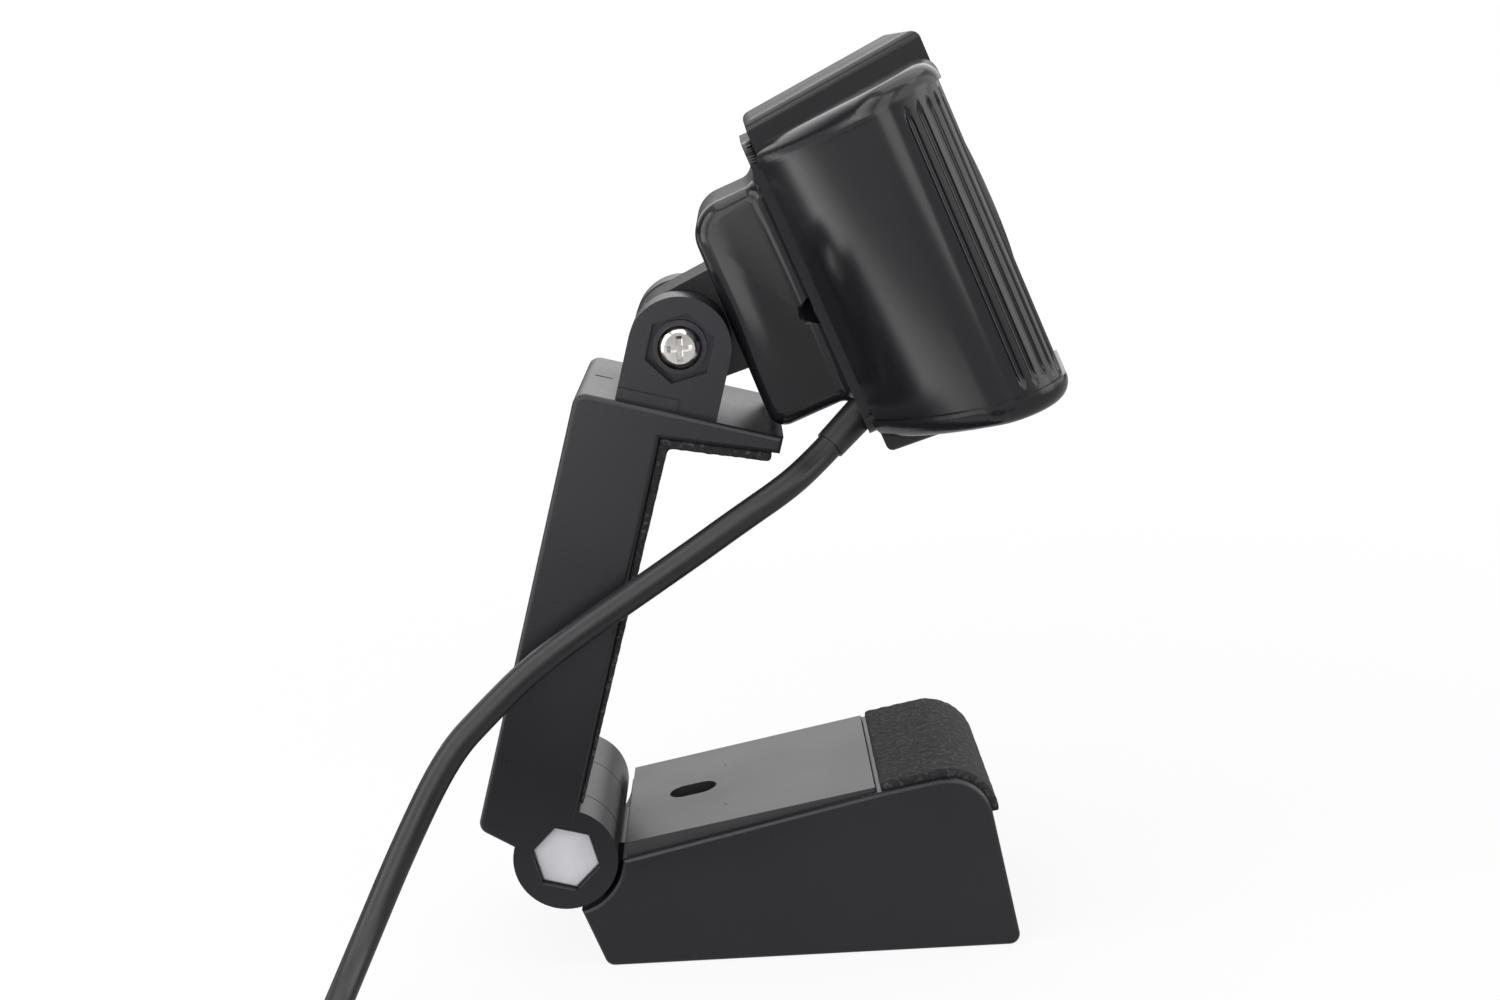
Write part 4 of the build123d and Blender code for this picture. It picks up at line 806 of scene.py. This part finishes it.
# Points on the flank, the nose and the front of the plan, and on the finished wall.
FLANK_STEPS, NOSE_STEPS, FRONT_STEPS = 40, 90, 12
WALL_COLUMNS = 300
WALL_ROWS = 41
# Shares of the columns before and up to the end of the grooves, and the room round the grooves.
GROOVED_COLUMNS = (0.2, 0.92)
ROOM_BEFORE = 0.6
ROOM_AFTER = 0.4


def bow(middle, radius, start, end, steps):
    """Points of an arc in plan from one point to another, the short way."""
    first = math.atan2(start[1] - middle[1], start[0] - middle[0])
    last = math.atan2(end[1] - middle[1], end[0] - middle[0])
    sweep = (last - first + math.pi) % (2 * math.pi) - math.pi
    turns = [first + sweep * step / steps for step in range(steps + 1)]
    return [(middle[0] + radius * math.cos(t), middle[1] + radius * math.sin(t)) for t in turns]


def wing_plan():
    """Outline of the wing from its root round the nose to the front, and the flank's length."""
    flank = bow(WING_FLANK_MIDDLE, WING_FLANK_RADIUS, WING_ROOT, WING_SHOULDER, FLANK_STEPS)
    nose = bow(WING_NOSE_MIDDLE, WING_NOSE_RADIUS, WING_SHOULDER, WING_NOSE_END, NOSE_STEPS)
    start, end = Vector(WING_NOSE_END), Vector(WING_FRONT)
    front = [tuple(start.lerp(end, step / FRONT_STEPS)) for step in range(FRONT_STEPS + 1)]
    return flank[:-1] + nose[:-1] + front, sum(map(math.dist, flank, flank[1:]))


def wing_tree():
    """Tree that raises a wall on a plan, sinks a row of round-ended grooves, and mirrors it."""
    tree, given = new_tree(
        "grooved wings", Int=("Grooves",), Float=(
            "First groove", "Pitch", "Groove radius", "Low", "High", "Margin", "Root", "Rise", "Drop",
        ),
    )
    calc = partial(math_node, tree)
    pitch, radius, first = given["Pitch"], given["Groove radius"], given["First groove"]
    curve = node(tree, "GeometryNodeMeshToCurve", Mesh=given["Geometry"]).outputs["Curve"]
    length = node(tree, "GeometryNodeCurveLength", Curve=curve).outputs["Length"]
    grid = node(
        tree, "GeometryNodeMeshGrid", Size_X=1.0, Size_Y=1.0, Vertices_X=WALL_COLUMNS, Vertices_Y=WALL_ROWS,
    )
    place = node(tree, "GeometryNodeInputPosition").outputs["Position"]
    place = node(tree, "ShaderNodeSeparateXYZ", Vector=place).outputs
    along, rise = calc("ADD", place["X"], 0.5), calc("ADD", place["Y"], 0.5)
    # Most of the columns go where the grooves are.
    before = calc("SUBTRACT", first, ROOM_BEFORE)
    grooved = calc("MULTIPLY_ADD", pitch, given["Grooves"], ROOM_AFTER)
    rest = calc("SUBTRACT", calc("SUBTRACT", length, before), grooved)
    shares = (0.0, *GROOVED_COLUMNS, 1.0)
    runs = [
        between(tree, along, 0.0, run, start, end)
        for start, end, run in zip(shares, shares[1:], (before, grooved, rest))
    ]
    distance = calc("ADD", calc("ADD", runs[0], runs[1]), runs[2])
    sample = node(tree, "GeometryNodeSampleCurve", mode="LENGTH", Curves=curve, Length=distance).outputs
    plan = node(tree, "ShaderNodeSeparateXYZ", Vector=sample["Position"]).outputs
    ahead = node(tree, "ShaderNodeSeparateXYZ", Vector=sample["Tangent"]).outputs
    # The wing opens up towards the front.
    forward = calc("SUBTRACT", plan["X"], given["Root"])
    low = calc("SUBTRACT", given["Low"], calc("MULTIPLY", forward, given["Drop"]))
    high = calc("MULTIPLY_ADD", forward, given["Rise"], given["High"])
    # Rows stand closer together near the top and bottom, where the grooves end.
    up = between(tree, calc("COSINE", calc("MULTIPLY", rise, math.pi)), low, high, 1.0, -1.0)
    # Depth of the nearest groove, as part of a circle, with round ends.
    count = calc("DIVIDE", calc("SUBTRACT", distance, first), pitch)
    nearest = calc("MAXIMUM", calc("ROUND", count), 0.0)
    nearest = calc("MINIMUM", nearest, calc("SUBTRACT", given["Grooves"], 1.0))
    aside = calc("MULTIPLY", calc("SUBTRACT", count, nearest), pitch)
    inside = calc("ADD", given["Margin"], radius)
    over = calc("SUBTRACT", up, calc("SUBTRACT", high, inside))
    under = calc("SUBTRACT", calc("ADD", low, inside), up)
    past = calc("MAXIMUM", calc("MAXIMUM", over, under), 0.0)
    square = calc("ADD", calc("POWER", calc("ABSOLUTE", aside), 2.0), calc("POWER", past, 2.0))
    room = calc("SUBTRACT", calc("POWER", radius, 2.0), square)
    depth = calc("SQRT", calc("MAXIMUM", room, 0.0))
    forward = calc("MULTIPLY_ADD", ahead["Y"], depth, plan["X"])
    out = calc("SUBTRACT", plan["Y"], calc("MULTIPLY", ahead["X"], depth))
    both = node(tree, "GeometryNodeJoinGeometry")
    for sign in (1.0, -1.0):
        spot = node(tree, "ShaderNodeCombineXYZ", X=forward, Y=calc("MULTIPLY", out, sign), Z=up)
        side = node(
            tree, "GeometryNodeSetPosition", Geometry=grid.outputs["Mesh"], Position=spot.outputs["Vector"],
        ).outputs["Geometry"]
        if sign > 0:
            side = node(tree, "GeometryNodeFlipFaces", Mesh=side).outputs["Mesh"]
        feed(tree, both, Geometry=side)
    return close_tree(tree, both.outputs["Geometry"], given["Finish"])


class WEBCAM_OT_wings(bpy.types.Operator):
    """Raises the two grooved wings on their plan"""

    bl_idname = "webcam.wings"
    bl_label = "Wings"

    def execute(self, context):
        sizes = context.scene.webcam_sizes
        plan, flank_length = wing_plan()
        line = bpy.data.meshes.new("head_wings")
        edges = [(step, step + 1) for step in range(len(plan) - 1)]
        line.from_pydata([(forward, side, 0) for forward, side in plan], edges, [])
        wings = show("head_wings", line)
        shoulder = math.degrees(math.atan2(
            WING_NOSE_MIDDLE[0] - WING_SHOULDER[0], WING_SHOULDER[1] - WING_NOSE_MIDDLE[1],
        ))
        grow(wings, wing_tree(), {
            "First groove": flank_length + WING_NOSE_RADIUS * math.radians(shoulder + FIRST_GROOVE_ANGLE),
            "Pitch": WING_NOSE_RADIUS * math.radians(GROOVE_STEP_ANGLE),
            "Grooves": sizes.groove_count,
            "Groove radius": sizes.groove_radius / MM,
            "Low": WING_LOW, "High": WING_HIGH, "Margin": GROOVE_MARGIN,
            "Root": WING_ROOT[0], "Rise": WING_RISE, "Drop": WING_DROP,
            "Finish": finishes["head"],
        })
        wall = wings.modifiers.new("wall", "SOLIDIFY")
        wall.thickness = WING_WALL
        wall.offset = -1
        mesh = settle(wings)
        mesh.transform(HEAD)
        soften(mesh, 40)
        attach(wings, "head")
        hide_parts("side_cover_left", "side_cover_right")
        return {"FINISHED"}


# Hump behind the head

HUMP_BULGE = 1.0
HUMP_MIDDLE = (12.0, -0.15)
HUMP_REACH = (5.5, 15.2)
HUMP_INSIDE = 12.2
HUMP_SIDE = 14.0
HUMP_CUT = 1.0


class WEBCAM_OT_hump(bpy.types.Operator):
    """Swells the sides of the hump behind the head"""

    bl_idname = "webcam.hump"
    bl_label = "Hump"

    def execute(self, context):
        work = merged_copy("rear_cover")
        work.transform(HEAD.inverted())
        ways = (Vector((1, 0, 0)), Vector((0, 0, 1)))
        for way, middle, reach in zip(ways, HUMP_MIDDLE, HUMP_REACH):
            count = int(2 * reach / HUMP_CUT)
            for cut in range(count + 1):
                bmesh.ops.bisect_plane(
                    work, geom=[*work.verts, *work.edges, *work.faces],
                    plane_co=way * (middle - reach + 2 * reach * cut / count), plane_no=way,
                )
        for vertex in work.verts:
            forward, side, up = vertex.co
            outer = min(max((abs(side) - HUMP_INSIDE) / (HUMP_SIDE - HUMP_INSIDE), 0.0), 1.0)
            for value, middle, reach in zip((forward, up), HUMP_MIDDLE, HUMP_REACH):
                outer *= max(1 - ((value - middle) / reach) ** 2, 0.0)
            vertex.co.y += math.copysign(HUMP_BULGE * outer, side)
        mesh = finished(work, "rear_hump", facing_out=False)
        mesh.transform(HEAD)
        hump = show("rear_hump", mesh, finishes["head"])
        soften(mesh, 32)
        hump.modifiers.new("even", "WEIGHTED_NORMAL").keep_sharp = True
        settle(hump)
        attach(hump, "head")
        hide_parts("rear_cover")
        return {"FINISHED"}


# Pads

PAD_CELL = 0.00032
# Lumps of the grain: how many to the millimetre, and how high against the grain's height.
PAD_LUMPS = ((1.1, 1.0), (2.6, 0.6))


def soft_copy(name, source, grain, finish):
    """Pad with rounded edges and a grain, in the space of its solid."""
    pad = show(name, finished(merged_copy(source), name, facing_out=False))
    cells = pad.modifiers.new("cells", "REMESH")
    cells.mode = "VOXEL"
    cells.voxel_size = PAD_CELL
    ease = pad.modifiers.new("ease", "SMOOTH")
    ease.factor = 0.5
    ease.iterations = 2
    mesh = settle(pad)
    normals = [vertex.normal.copy() for vertex in mesh.vertices]
    for vertex, normal in zip(mesh.vertices, normals):
        lumps = sum(share * noise.noise(vertex.co / MM * often) for often, share in PAD_LUMPS)
        vertex.co += normal * (lumps * grain)
    mesh.shade_smooth()
    coat(mesh, finish)
    return pad


class WEBCAM_OT_pads(bpy.types.Operator):
    """Makes the cellular rubber pads of the base and the arm"""

    bl_idname = "webcam.pads"
    bl_label = "Pads"

    def execute(self, context):
        grain = context.scene.webcam_sizes.pad_grain
        for name, source, body in (
            ("base_grip", "base_pad", "base"), ("arm_grip", "arm_pad", "arm"),
        ):
            pad = soft_copy(name, source, grain, finishes["pad"])
            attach(pad, body)
            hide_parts(source)
        return {"FINISHED"}


# Lens

def steps_in(front, back, wide, narrow, count):
    """Profile of small steps from a wide front edge to a narrow back one."""
    points = []
    for step in range(count):
        depth = front + (back - front) * step / count
        deeper = front + (back - front) * (step + 1) / count
        radius = wide + (narrow - wide) * (step + 0.5) / count
        points += [(depth, radius), (deeper, radius)]
    return points


def dome(front, crown, radius, count=14):
    """Profile of a shallow dome from its rim to its pole."""
    curve = (radius**2 + crown**2) / (2 * crown)
    return [
        (front + crown - curve + math.sqrt(curve**2 - (radius * (1 - step / count)) ** 2),
         radius * (1 - step / count))
        for step in range(count + 1)
    ]


LENS_FRONT = 41.0
LENS_SEAT = 39.2
INNER_SEAT = 38.2
RING_PROFILE = [
    (42.0, 8.2), (42.9, 8.2), (42.9, 11.0), (43.55, 11.0), (43.75, 10.92), (44.0, 10.67),
    (44.1, 10.45), (44.1, 9.75), (43.85, 9.65), (43.85, 9.40), (44.1, 9.30), (44.1, 8.95),
]
RING_STEPS = (44.0, 42.0, 8.7, 7.05, 7)
FRONT_PROFILE = [(LENS_SEAT, 0), (LENS_SEAT, 5.55), (LENS_FRONT - 0.1, 5.55)]
INNER_PROFILE = [(INNER_SEAT - 1.2, 0), (INNER_SEAT - 1.2, 2.95), (INNER_SEAT, 2.95)]
# Height and radius of the domes.
FRONT_DOME = (0.9, 5.5)
INNER_DOME = (0.7, 2.9)


class WEBCAM_OT_optics(bpy.types.Operator):
    """Turns the lens ring, the front lens and the lens behind it"""

    bl_idname = "webcam.optics"
    bl_label = "Optics"

    def execute(self, context):
        ring = RING_PROFILE + steps_in(*RING_STEPS)
        front = FRONT_PROFILE + dome(LENS_FRONT, *FRONT_DOME)
        inner = INNER_PROFILE + dome(INNER_SEAT, *INNER_DOME)
        for name, profile, closed, finish, slot, source in (
            ("lens_surround", ring, True, "barrel", "head_plastic", "lens_ring"),
            ("lens_front", front, False, "glass", "lens_glass", "front_lens"),
            ("lens_inner", inner, False, "inner_glass", "lens_glass", None),
        ):
            piece = show(name, lathe(name, profile, HEAD, closed), finishes[finish])
            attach(piece, "head")
            if source:
                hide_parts(source)
        return {"FINISHED"}


# Screws

SCREW_SEGMENTS = 24
THREAD_PITCH = 0.8
# Parts of the shank's radius, and heights and radii as parts of the head's.
THREAD_CORE = 0.8
SCREW_TIP = 0.45
HEAD_PROFILE = ((0, 1), (0.45, 1), (0.8, 0.86), (1, 0.7))
RECESS_REACH = 0.58
RECESS_HALF = 0.15
RECESS_TAPER = 0.7
RECESS_FLOOR = 0.4
# What counts as the rim of a solid screw's head, and as its tip, in metres.
RIM_SHARE = 0.97
TIP_DEPTH = 0.0002


def screw_shape(name, head_radius, head_height, shank_radius, shank_length):
    """Pan-head screw in millimetres: head outwards along +Z, its seat at the origin."""
    work = bmesh.new()
    core = shank_radius * THREAD_CORE
    profile = [(-shank_length, shank_radius * SCREW_TIP)]
    for turn in range(int(shank_length / THREAD_PITCH) - 1, -1, -1):
        profile += [(-(turn + 0.75) * THREAD_PITCH, core), (-(turn + 0.4) * THREAD_PITCH, shank_radius)]
    profile.append((0, core))
    profile += [(head_height * height, head_radius * radius) for height, radius in HEAD_PROFILE]
    rings = [
        [work.verts.new((radius * c, radius * s, height)) for c, s in circle(SCREW_SEGMENTS)]
        for height, radius in profile
    ]
    skin(work, rings)
    work.faces.new(list(reversed(rings[0])))
    reach, half = RECESS_REACH * head_radius, RECESS_HALF * head_radius
    outline = [(reach, -half), (reach, half), (half, half)]
    for quarter in range(3):
        outline += [(-y, x) for x, y in outline[-3:]]
    rim = [work.verts.new((x, y, head_height)) for x, y in outline]
    depth = head_height * RECESS_FLOOR
    floor = [work.verts.new((x * RECESS_TAPER, y * RECESS_TAPER, depth)) for x, y in outline]
    edges = [
        work.edges.get(pair) or work.edges.new(pair)
        for loop in (rings[-1], rim) for pair in zip(loop, loop[1:] + loop[:1])
    ]
    bmesh.ops.triangle_fill(work, edges=edges, use_beauty=True)
    skin(work, [rim, floor])
    work.faces.new(floor)
    mesh = finished(work, name)
    mesh.transform(Matrix.Scale(MM, 4))
    soften(mesh, 30)
    return mesh


def solids_of(name):
    """Corner points of each separate solid of a node."""
    work = merged_copy(name)
    work.verts.index_update()
    found = set()
    groups = []
    for first in work.verts:
        group, edge = [], [first]
        while edge:
            vertex = edge.pop()
            if vertex.index in found:
                continue
            found.add(vertex.index)
            group.append(vertex.co.copy())
            edge += [link.other_vert(vertex) for link in vertex.link_edges]
        if group:
            groups.append(group)
    work.free()
    return sorted(groups, key=lambda group: tuple(round(c, 5) for c in sum(group, Vector()) / len(group)))


def screw_places(name, axis):
    """Seat of each screw's head, the way the head faces, and the screw's measures in millimetres."""
    places = []
    for group in solids_of(name):
        middle = sum(group, Vector()) / len(group)
        heights = [(point - middle).dot(axis) for point in group]
        radii = [(point - middle - axis * height).length for point, height in zip(group, heights)]
        widest = max(radii)
        head = [height for height, radius in zip(heights, radii) if radius > widest * RIM_SHARE]
        way = 1 if sum(head) > 0 else -1
        heights = [way * height for height in heights]
        seat = min(way * height for height in head)
        low, high = min(heights), max(heights)
        narrow = max(radius for height, radius in zip(heights, radii) if height - low < TIP_DEPTH)
        measures = [value / MM for value in (widest, high - seat, narrow, seat - low)]
        places.append((middle + axis * way * seat, axis * way, measures))
    return places


def screw_tree():
    """Tree that sets a screw on each point, turned as the point says."""
    tree, given = new_tree("screws on points", Object=("Screw",), Float=("Size",))
    screw = node(tree, "GeometryNodeObjectInfo", transform_space="ORIGINAL", Object=given["Screw"])
    way = node(tree, "GeometryNodeInputNamedAttribute", data_type="FLOAT_VECTOR", Name="head_way")
    turn = node(tree, "FunctionNodeAlignRotationToVector", axis="Z", Vector=way.outputs["Attribute"])
    points = node(tree, "GeometryNodeMeshToPoints", Mesh=given["Geometry"])
    placed = node(
        tree, "GeometryNodeInstanceOnPoints", Points=points.outputs["Points"],
        Instance=screw.outputs["Geometry"], Rotation=turn.outputs["Rotation"], Scale=given["Size"],
    )
    return close_tree(tree, placed.outputs["Instances"], given["Finish"])


class WEBCAM_OT_screws(bpy.types.Operator):
    """Sets the small cross-recessed screws"""

    bl_idname = "webcam.screws"
    bl_label = "Screws"

    def execute(self, context):
        tree = screw_tree()
        arm_way = ARM.to_3x3() @ Vector((1 / MM, 0, 0))
        head_way = HEAD.to_3x3() @ Vector((1 / MM, 0, 0))
        for name, source, body, axis, finish in (
            ("base_screws", "base_plate_screws", "base", Vector((0, 0, 1)), "black_oxide"),
            ("arm_screws", "arm_cover_screws", "arm", arm_way, "black_oxide"),
            ("cover_screws", "rear_cover_screws", "head", head_way, "black_oxide"),
            ("board_screws", "pcb_screws", "head", head_way, "black_oxide"),
            ("tilt_bolt", "tilt_screw", "arm", Vector((0, 1, 0)), "nickel"),
        ):
            places = screw_places(source, axis)
            template = show(name + "_shape", screw_shape(name + "_shape", *places[0][2]))
            mesh = bpy.data.meshes.new(name)
            mesh.from_pydata([seat for seat, way, measures in places], [], [])
            ways = mesh.attributes.new("head_way", "FLOAT_VECTOR", "POINT")
            for value, (seat, way, measures) in zip(ways.data, places):
                value.vector = way
            screws = show(name, mesh)
            grow(screws, tree, {"Screw": template, "Size": 1.0, "Finish": finishes[finish]})
            soften(settle(screws), 30)
            bpy.data.objects.remove(template)
            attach(screws, body)
            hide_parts(source)
        return {"FINISHED"}


# Plug and strap

PLUG_MIDDLE = (-109.0, 3.9)
GRIP_START = 6.0
GRIP_PITCH = 2.2
GRIP_RADIUS = 0.4
GRIP_SIDES = 10
GRIP_CORNER_STEPS = 6
PLUG_WIDTH = 15.0
PLUG_HEIGHT = 7.8
PLUG_ROUNDING = 1.2
STRAP_THICKNESS = 0.8
STRAP_ROUNDING = 3.0
STRAP_CORNER_STEPS = 8
STRAP_HEM = 0.15


def grip_tree():
    """Tree that rings the plug with ribs at a pitch."""
    tree, given = new_tree(
        "plug grips", Int=("Ribs",), Float=("Pitch", "Rib radius", "Width", "Height", "Rounding"),
    )
    outline = node(
        tree, "GeometryNodeCurvePrimitiveQuadrilateral", Width=given["Width"], Height=given["Height"],
    ).outputs["Curve"]
    rounded = node(
        tree, "GeometryNodeFilletCurve", mode="POLY", Curve=outline, Radius=given["Rounding"],
        Count=GRIP_CORNER_STEPS,
    ).outputs["Curve"]
    section = node(
        tree, "GeometryNodeCurvePrimitiveCircle", Radius=given["Rib radius"], Resolution=GRIP_SIDES,
    ).outputs["Curve"]
    rib = node(tree, "GeometryNodeCurveToMesh", Curve=rounded, Profile_Curve=section).outputs["Mesh"]
    stood = node(tree, "GeometryNodeTransform", Geometry=rib, Rotation=(math.pi / 2, 0, math.pi / 2))
    step = node(tree, "ShaderNodeCombineXYZ", X=given["Pitch"]).outputs["Vector"]
    row = node(tree, "GeometryNodeMeshLine", Count=given["Ribs"], Offset=step)
    placed = node(
        tree, "GeometryNodeInstanceOnPoints", Points=row.outputs["Mesh"],
        Instance=stood.outputs["Geometry"],
    )
    return close_tree(tree, placed.outputs["Instances"], given["Finish"])


class WEBCAM_OT_grips(bpy.types.Operator):
    """Rings the plug's grip with ribs"""

    bl_idname = "webcam.grips"
    bl_label = "Plug grips"

    def execute(self, context):
        grips = show("plug_grips", bpy.data.meshes.new("plug_grips"))
        grow(grips, grip_tree(), {
            "Ribs": context.scene.webcam_sizes.grip_count, "Pitch": GRIP_PITCH,
            "Rib radius": GRIP_RADIUS, "Width": PLUG_WIDTH - GRIP_RADIUS / 2,
            "Height": PLUG_HEIGHT - 2.4 * GRIP_RADIUS, "Rounding": PLUG_ROUNDING,
            "Finish": finishes["relief"],
        })
        mesh = settle(grips)
        middle_y, middle_z = PLUG_MIDDLE
        mesh.transform(PART @ Matrix.Translation((GRIP_START, middle_y, middle_z)))
        soften(mesh, 60)
        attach(grips, "base")
        return {"FINISHED"}


class WEBCAM_OT_strap(bpy.types.Operator):
    """Wraps the woven strap round the coil"""

    bl_idname = "webcam.strap"
    bl_label = "Strap"

    def execute(self, context):
        low, high = (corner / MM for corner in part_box("cable_tie"))
        loops = []
        for inset, rounding in ((0, STRAP_ROUNDING), (STRAP_THICKNESS, STRAP_ROUNDING - STRAP_THICKNESS)):
            edge = inset + rounding
            front, back, top, bottom = high.y - edge, low.y + edge, high.z - edge, low.z + edge
            loop = []
            for quarter, (y, z) in enumerate(((front, top), (back, top), (back, bottom), (front, bottom))):
                for step in range(STRAP_CORNER_STEPS + 1):
                    turn = math.radians(90 * (quarter + step / STRAP_CORNER_STEPS))
                    loop.append((y + rounding * math.cos(turn), z + rounding * math.sin(turn)))
            loops.append(loop)
        outer, inner = loops
        work = bmesh.new()
        rows = [
            [work.verts.new((x, y, z)) for y, z in loop]
            for loop, x in ((outer, low.x), (outer, high.x), (inner, high.x), (inner, low.x))
        ]
        skin(work, rows + rows[:1])
        strap = show("lead_strap", finished(work, "lead_strap"), finishes["strap"])
        hem = strap.modifiers.new("hem", "BEVEL")
        hem.width = STRAP_HEM
        hem.segments = 2
        hem.limit_method = "ANGLE"
        mesh = settle(strap)
        mesh.transform(PART)
        soften(mesh, 40)
        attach(strap, "base")
        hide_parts("cable_tie")
        return {"FINISHED"}


class WEBCAM_PT_panel(bpy.types.Panel):
    """Lists the steps that dress the webcam, and what can be changed"""

    bl_idname = "WEBCAM_PT_panel"
    bl_label = "Webcam"
    bl_space_type = "VIEW_3D"
    bl_region_type = "UI"
    bl_category = "Webcam"

    def draw(self, context):
        for settings in (
            context.scene.webcam_finishes, context.scene.webcam_sizes, context.scene.webcam_studio,
        ):
            box = self.layout.box()
            for key in settings.__annotations__:
                box.prop(settings, key)
        for step in STEPS:
            self.layout.operator(step.bl_idname)


STEPS = (
    WEBCAM_OT_finishes, WEBCAM_OT_stage, WEBCAM_OT_grips, WEBCAM_OT_strap, WEBCAM_OT_lead,
    WEBCAM_OT_pads, WEBCAM_OT_wings, WEBCAM_OT_hump, WEBCAM_OT_optics, WEBCAM_OT_screws,
)
CLASSES = (WebcamFinishes, WebcamSizes, WebcamStudio, *STEPS, WEBCAM_PT_panel)


def register():
    for kind in CLASSES:
        bpy.utils.register_class(kind)
    bpy.types.Scene.webcam_finishes = PointerProperty(type=WebcamFinishes)
    bpy.types.Scene.webcam_sizes = PointerProperty(type=WebcamSizes)
    bpy.types.Scene.webcam_studio = PointerProperty(type=WebcamStudio)


def unregister():
    for name in ("webcam_finishes", "webcam_sizes", "webcam_studio"):
        delattr(bpy.types.Scene, name)
    for kind in reversed(CLASSES):
        bpy.utils.unregister_class(kind)


def main():
    register()
    for step in STEPS:
        group, name = step.bl_idname.split(".")
        getattr(getattr(bpy.ops, group), name)()


if __name__ == "__main__":
    main()
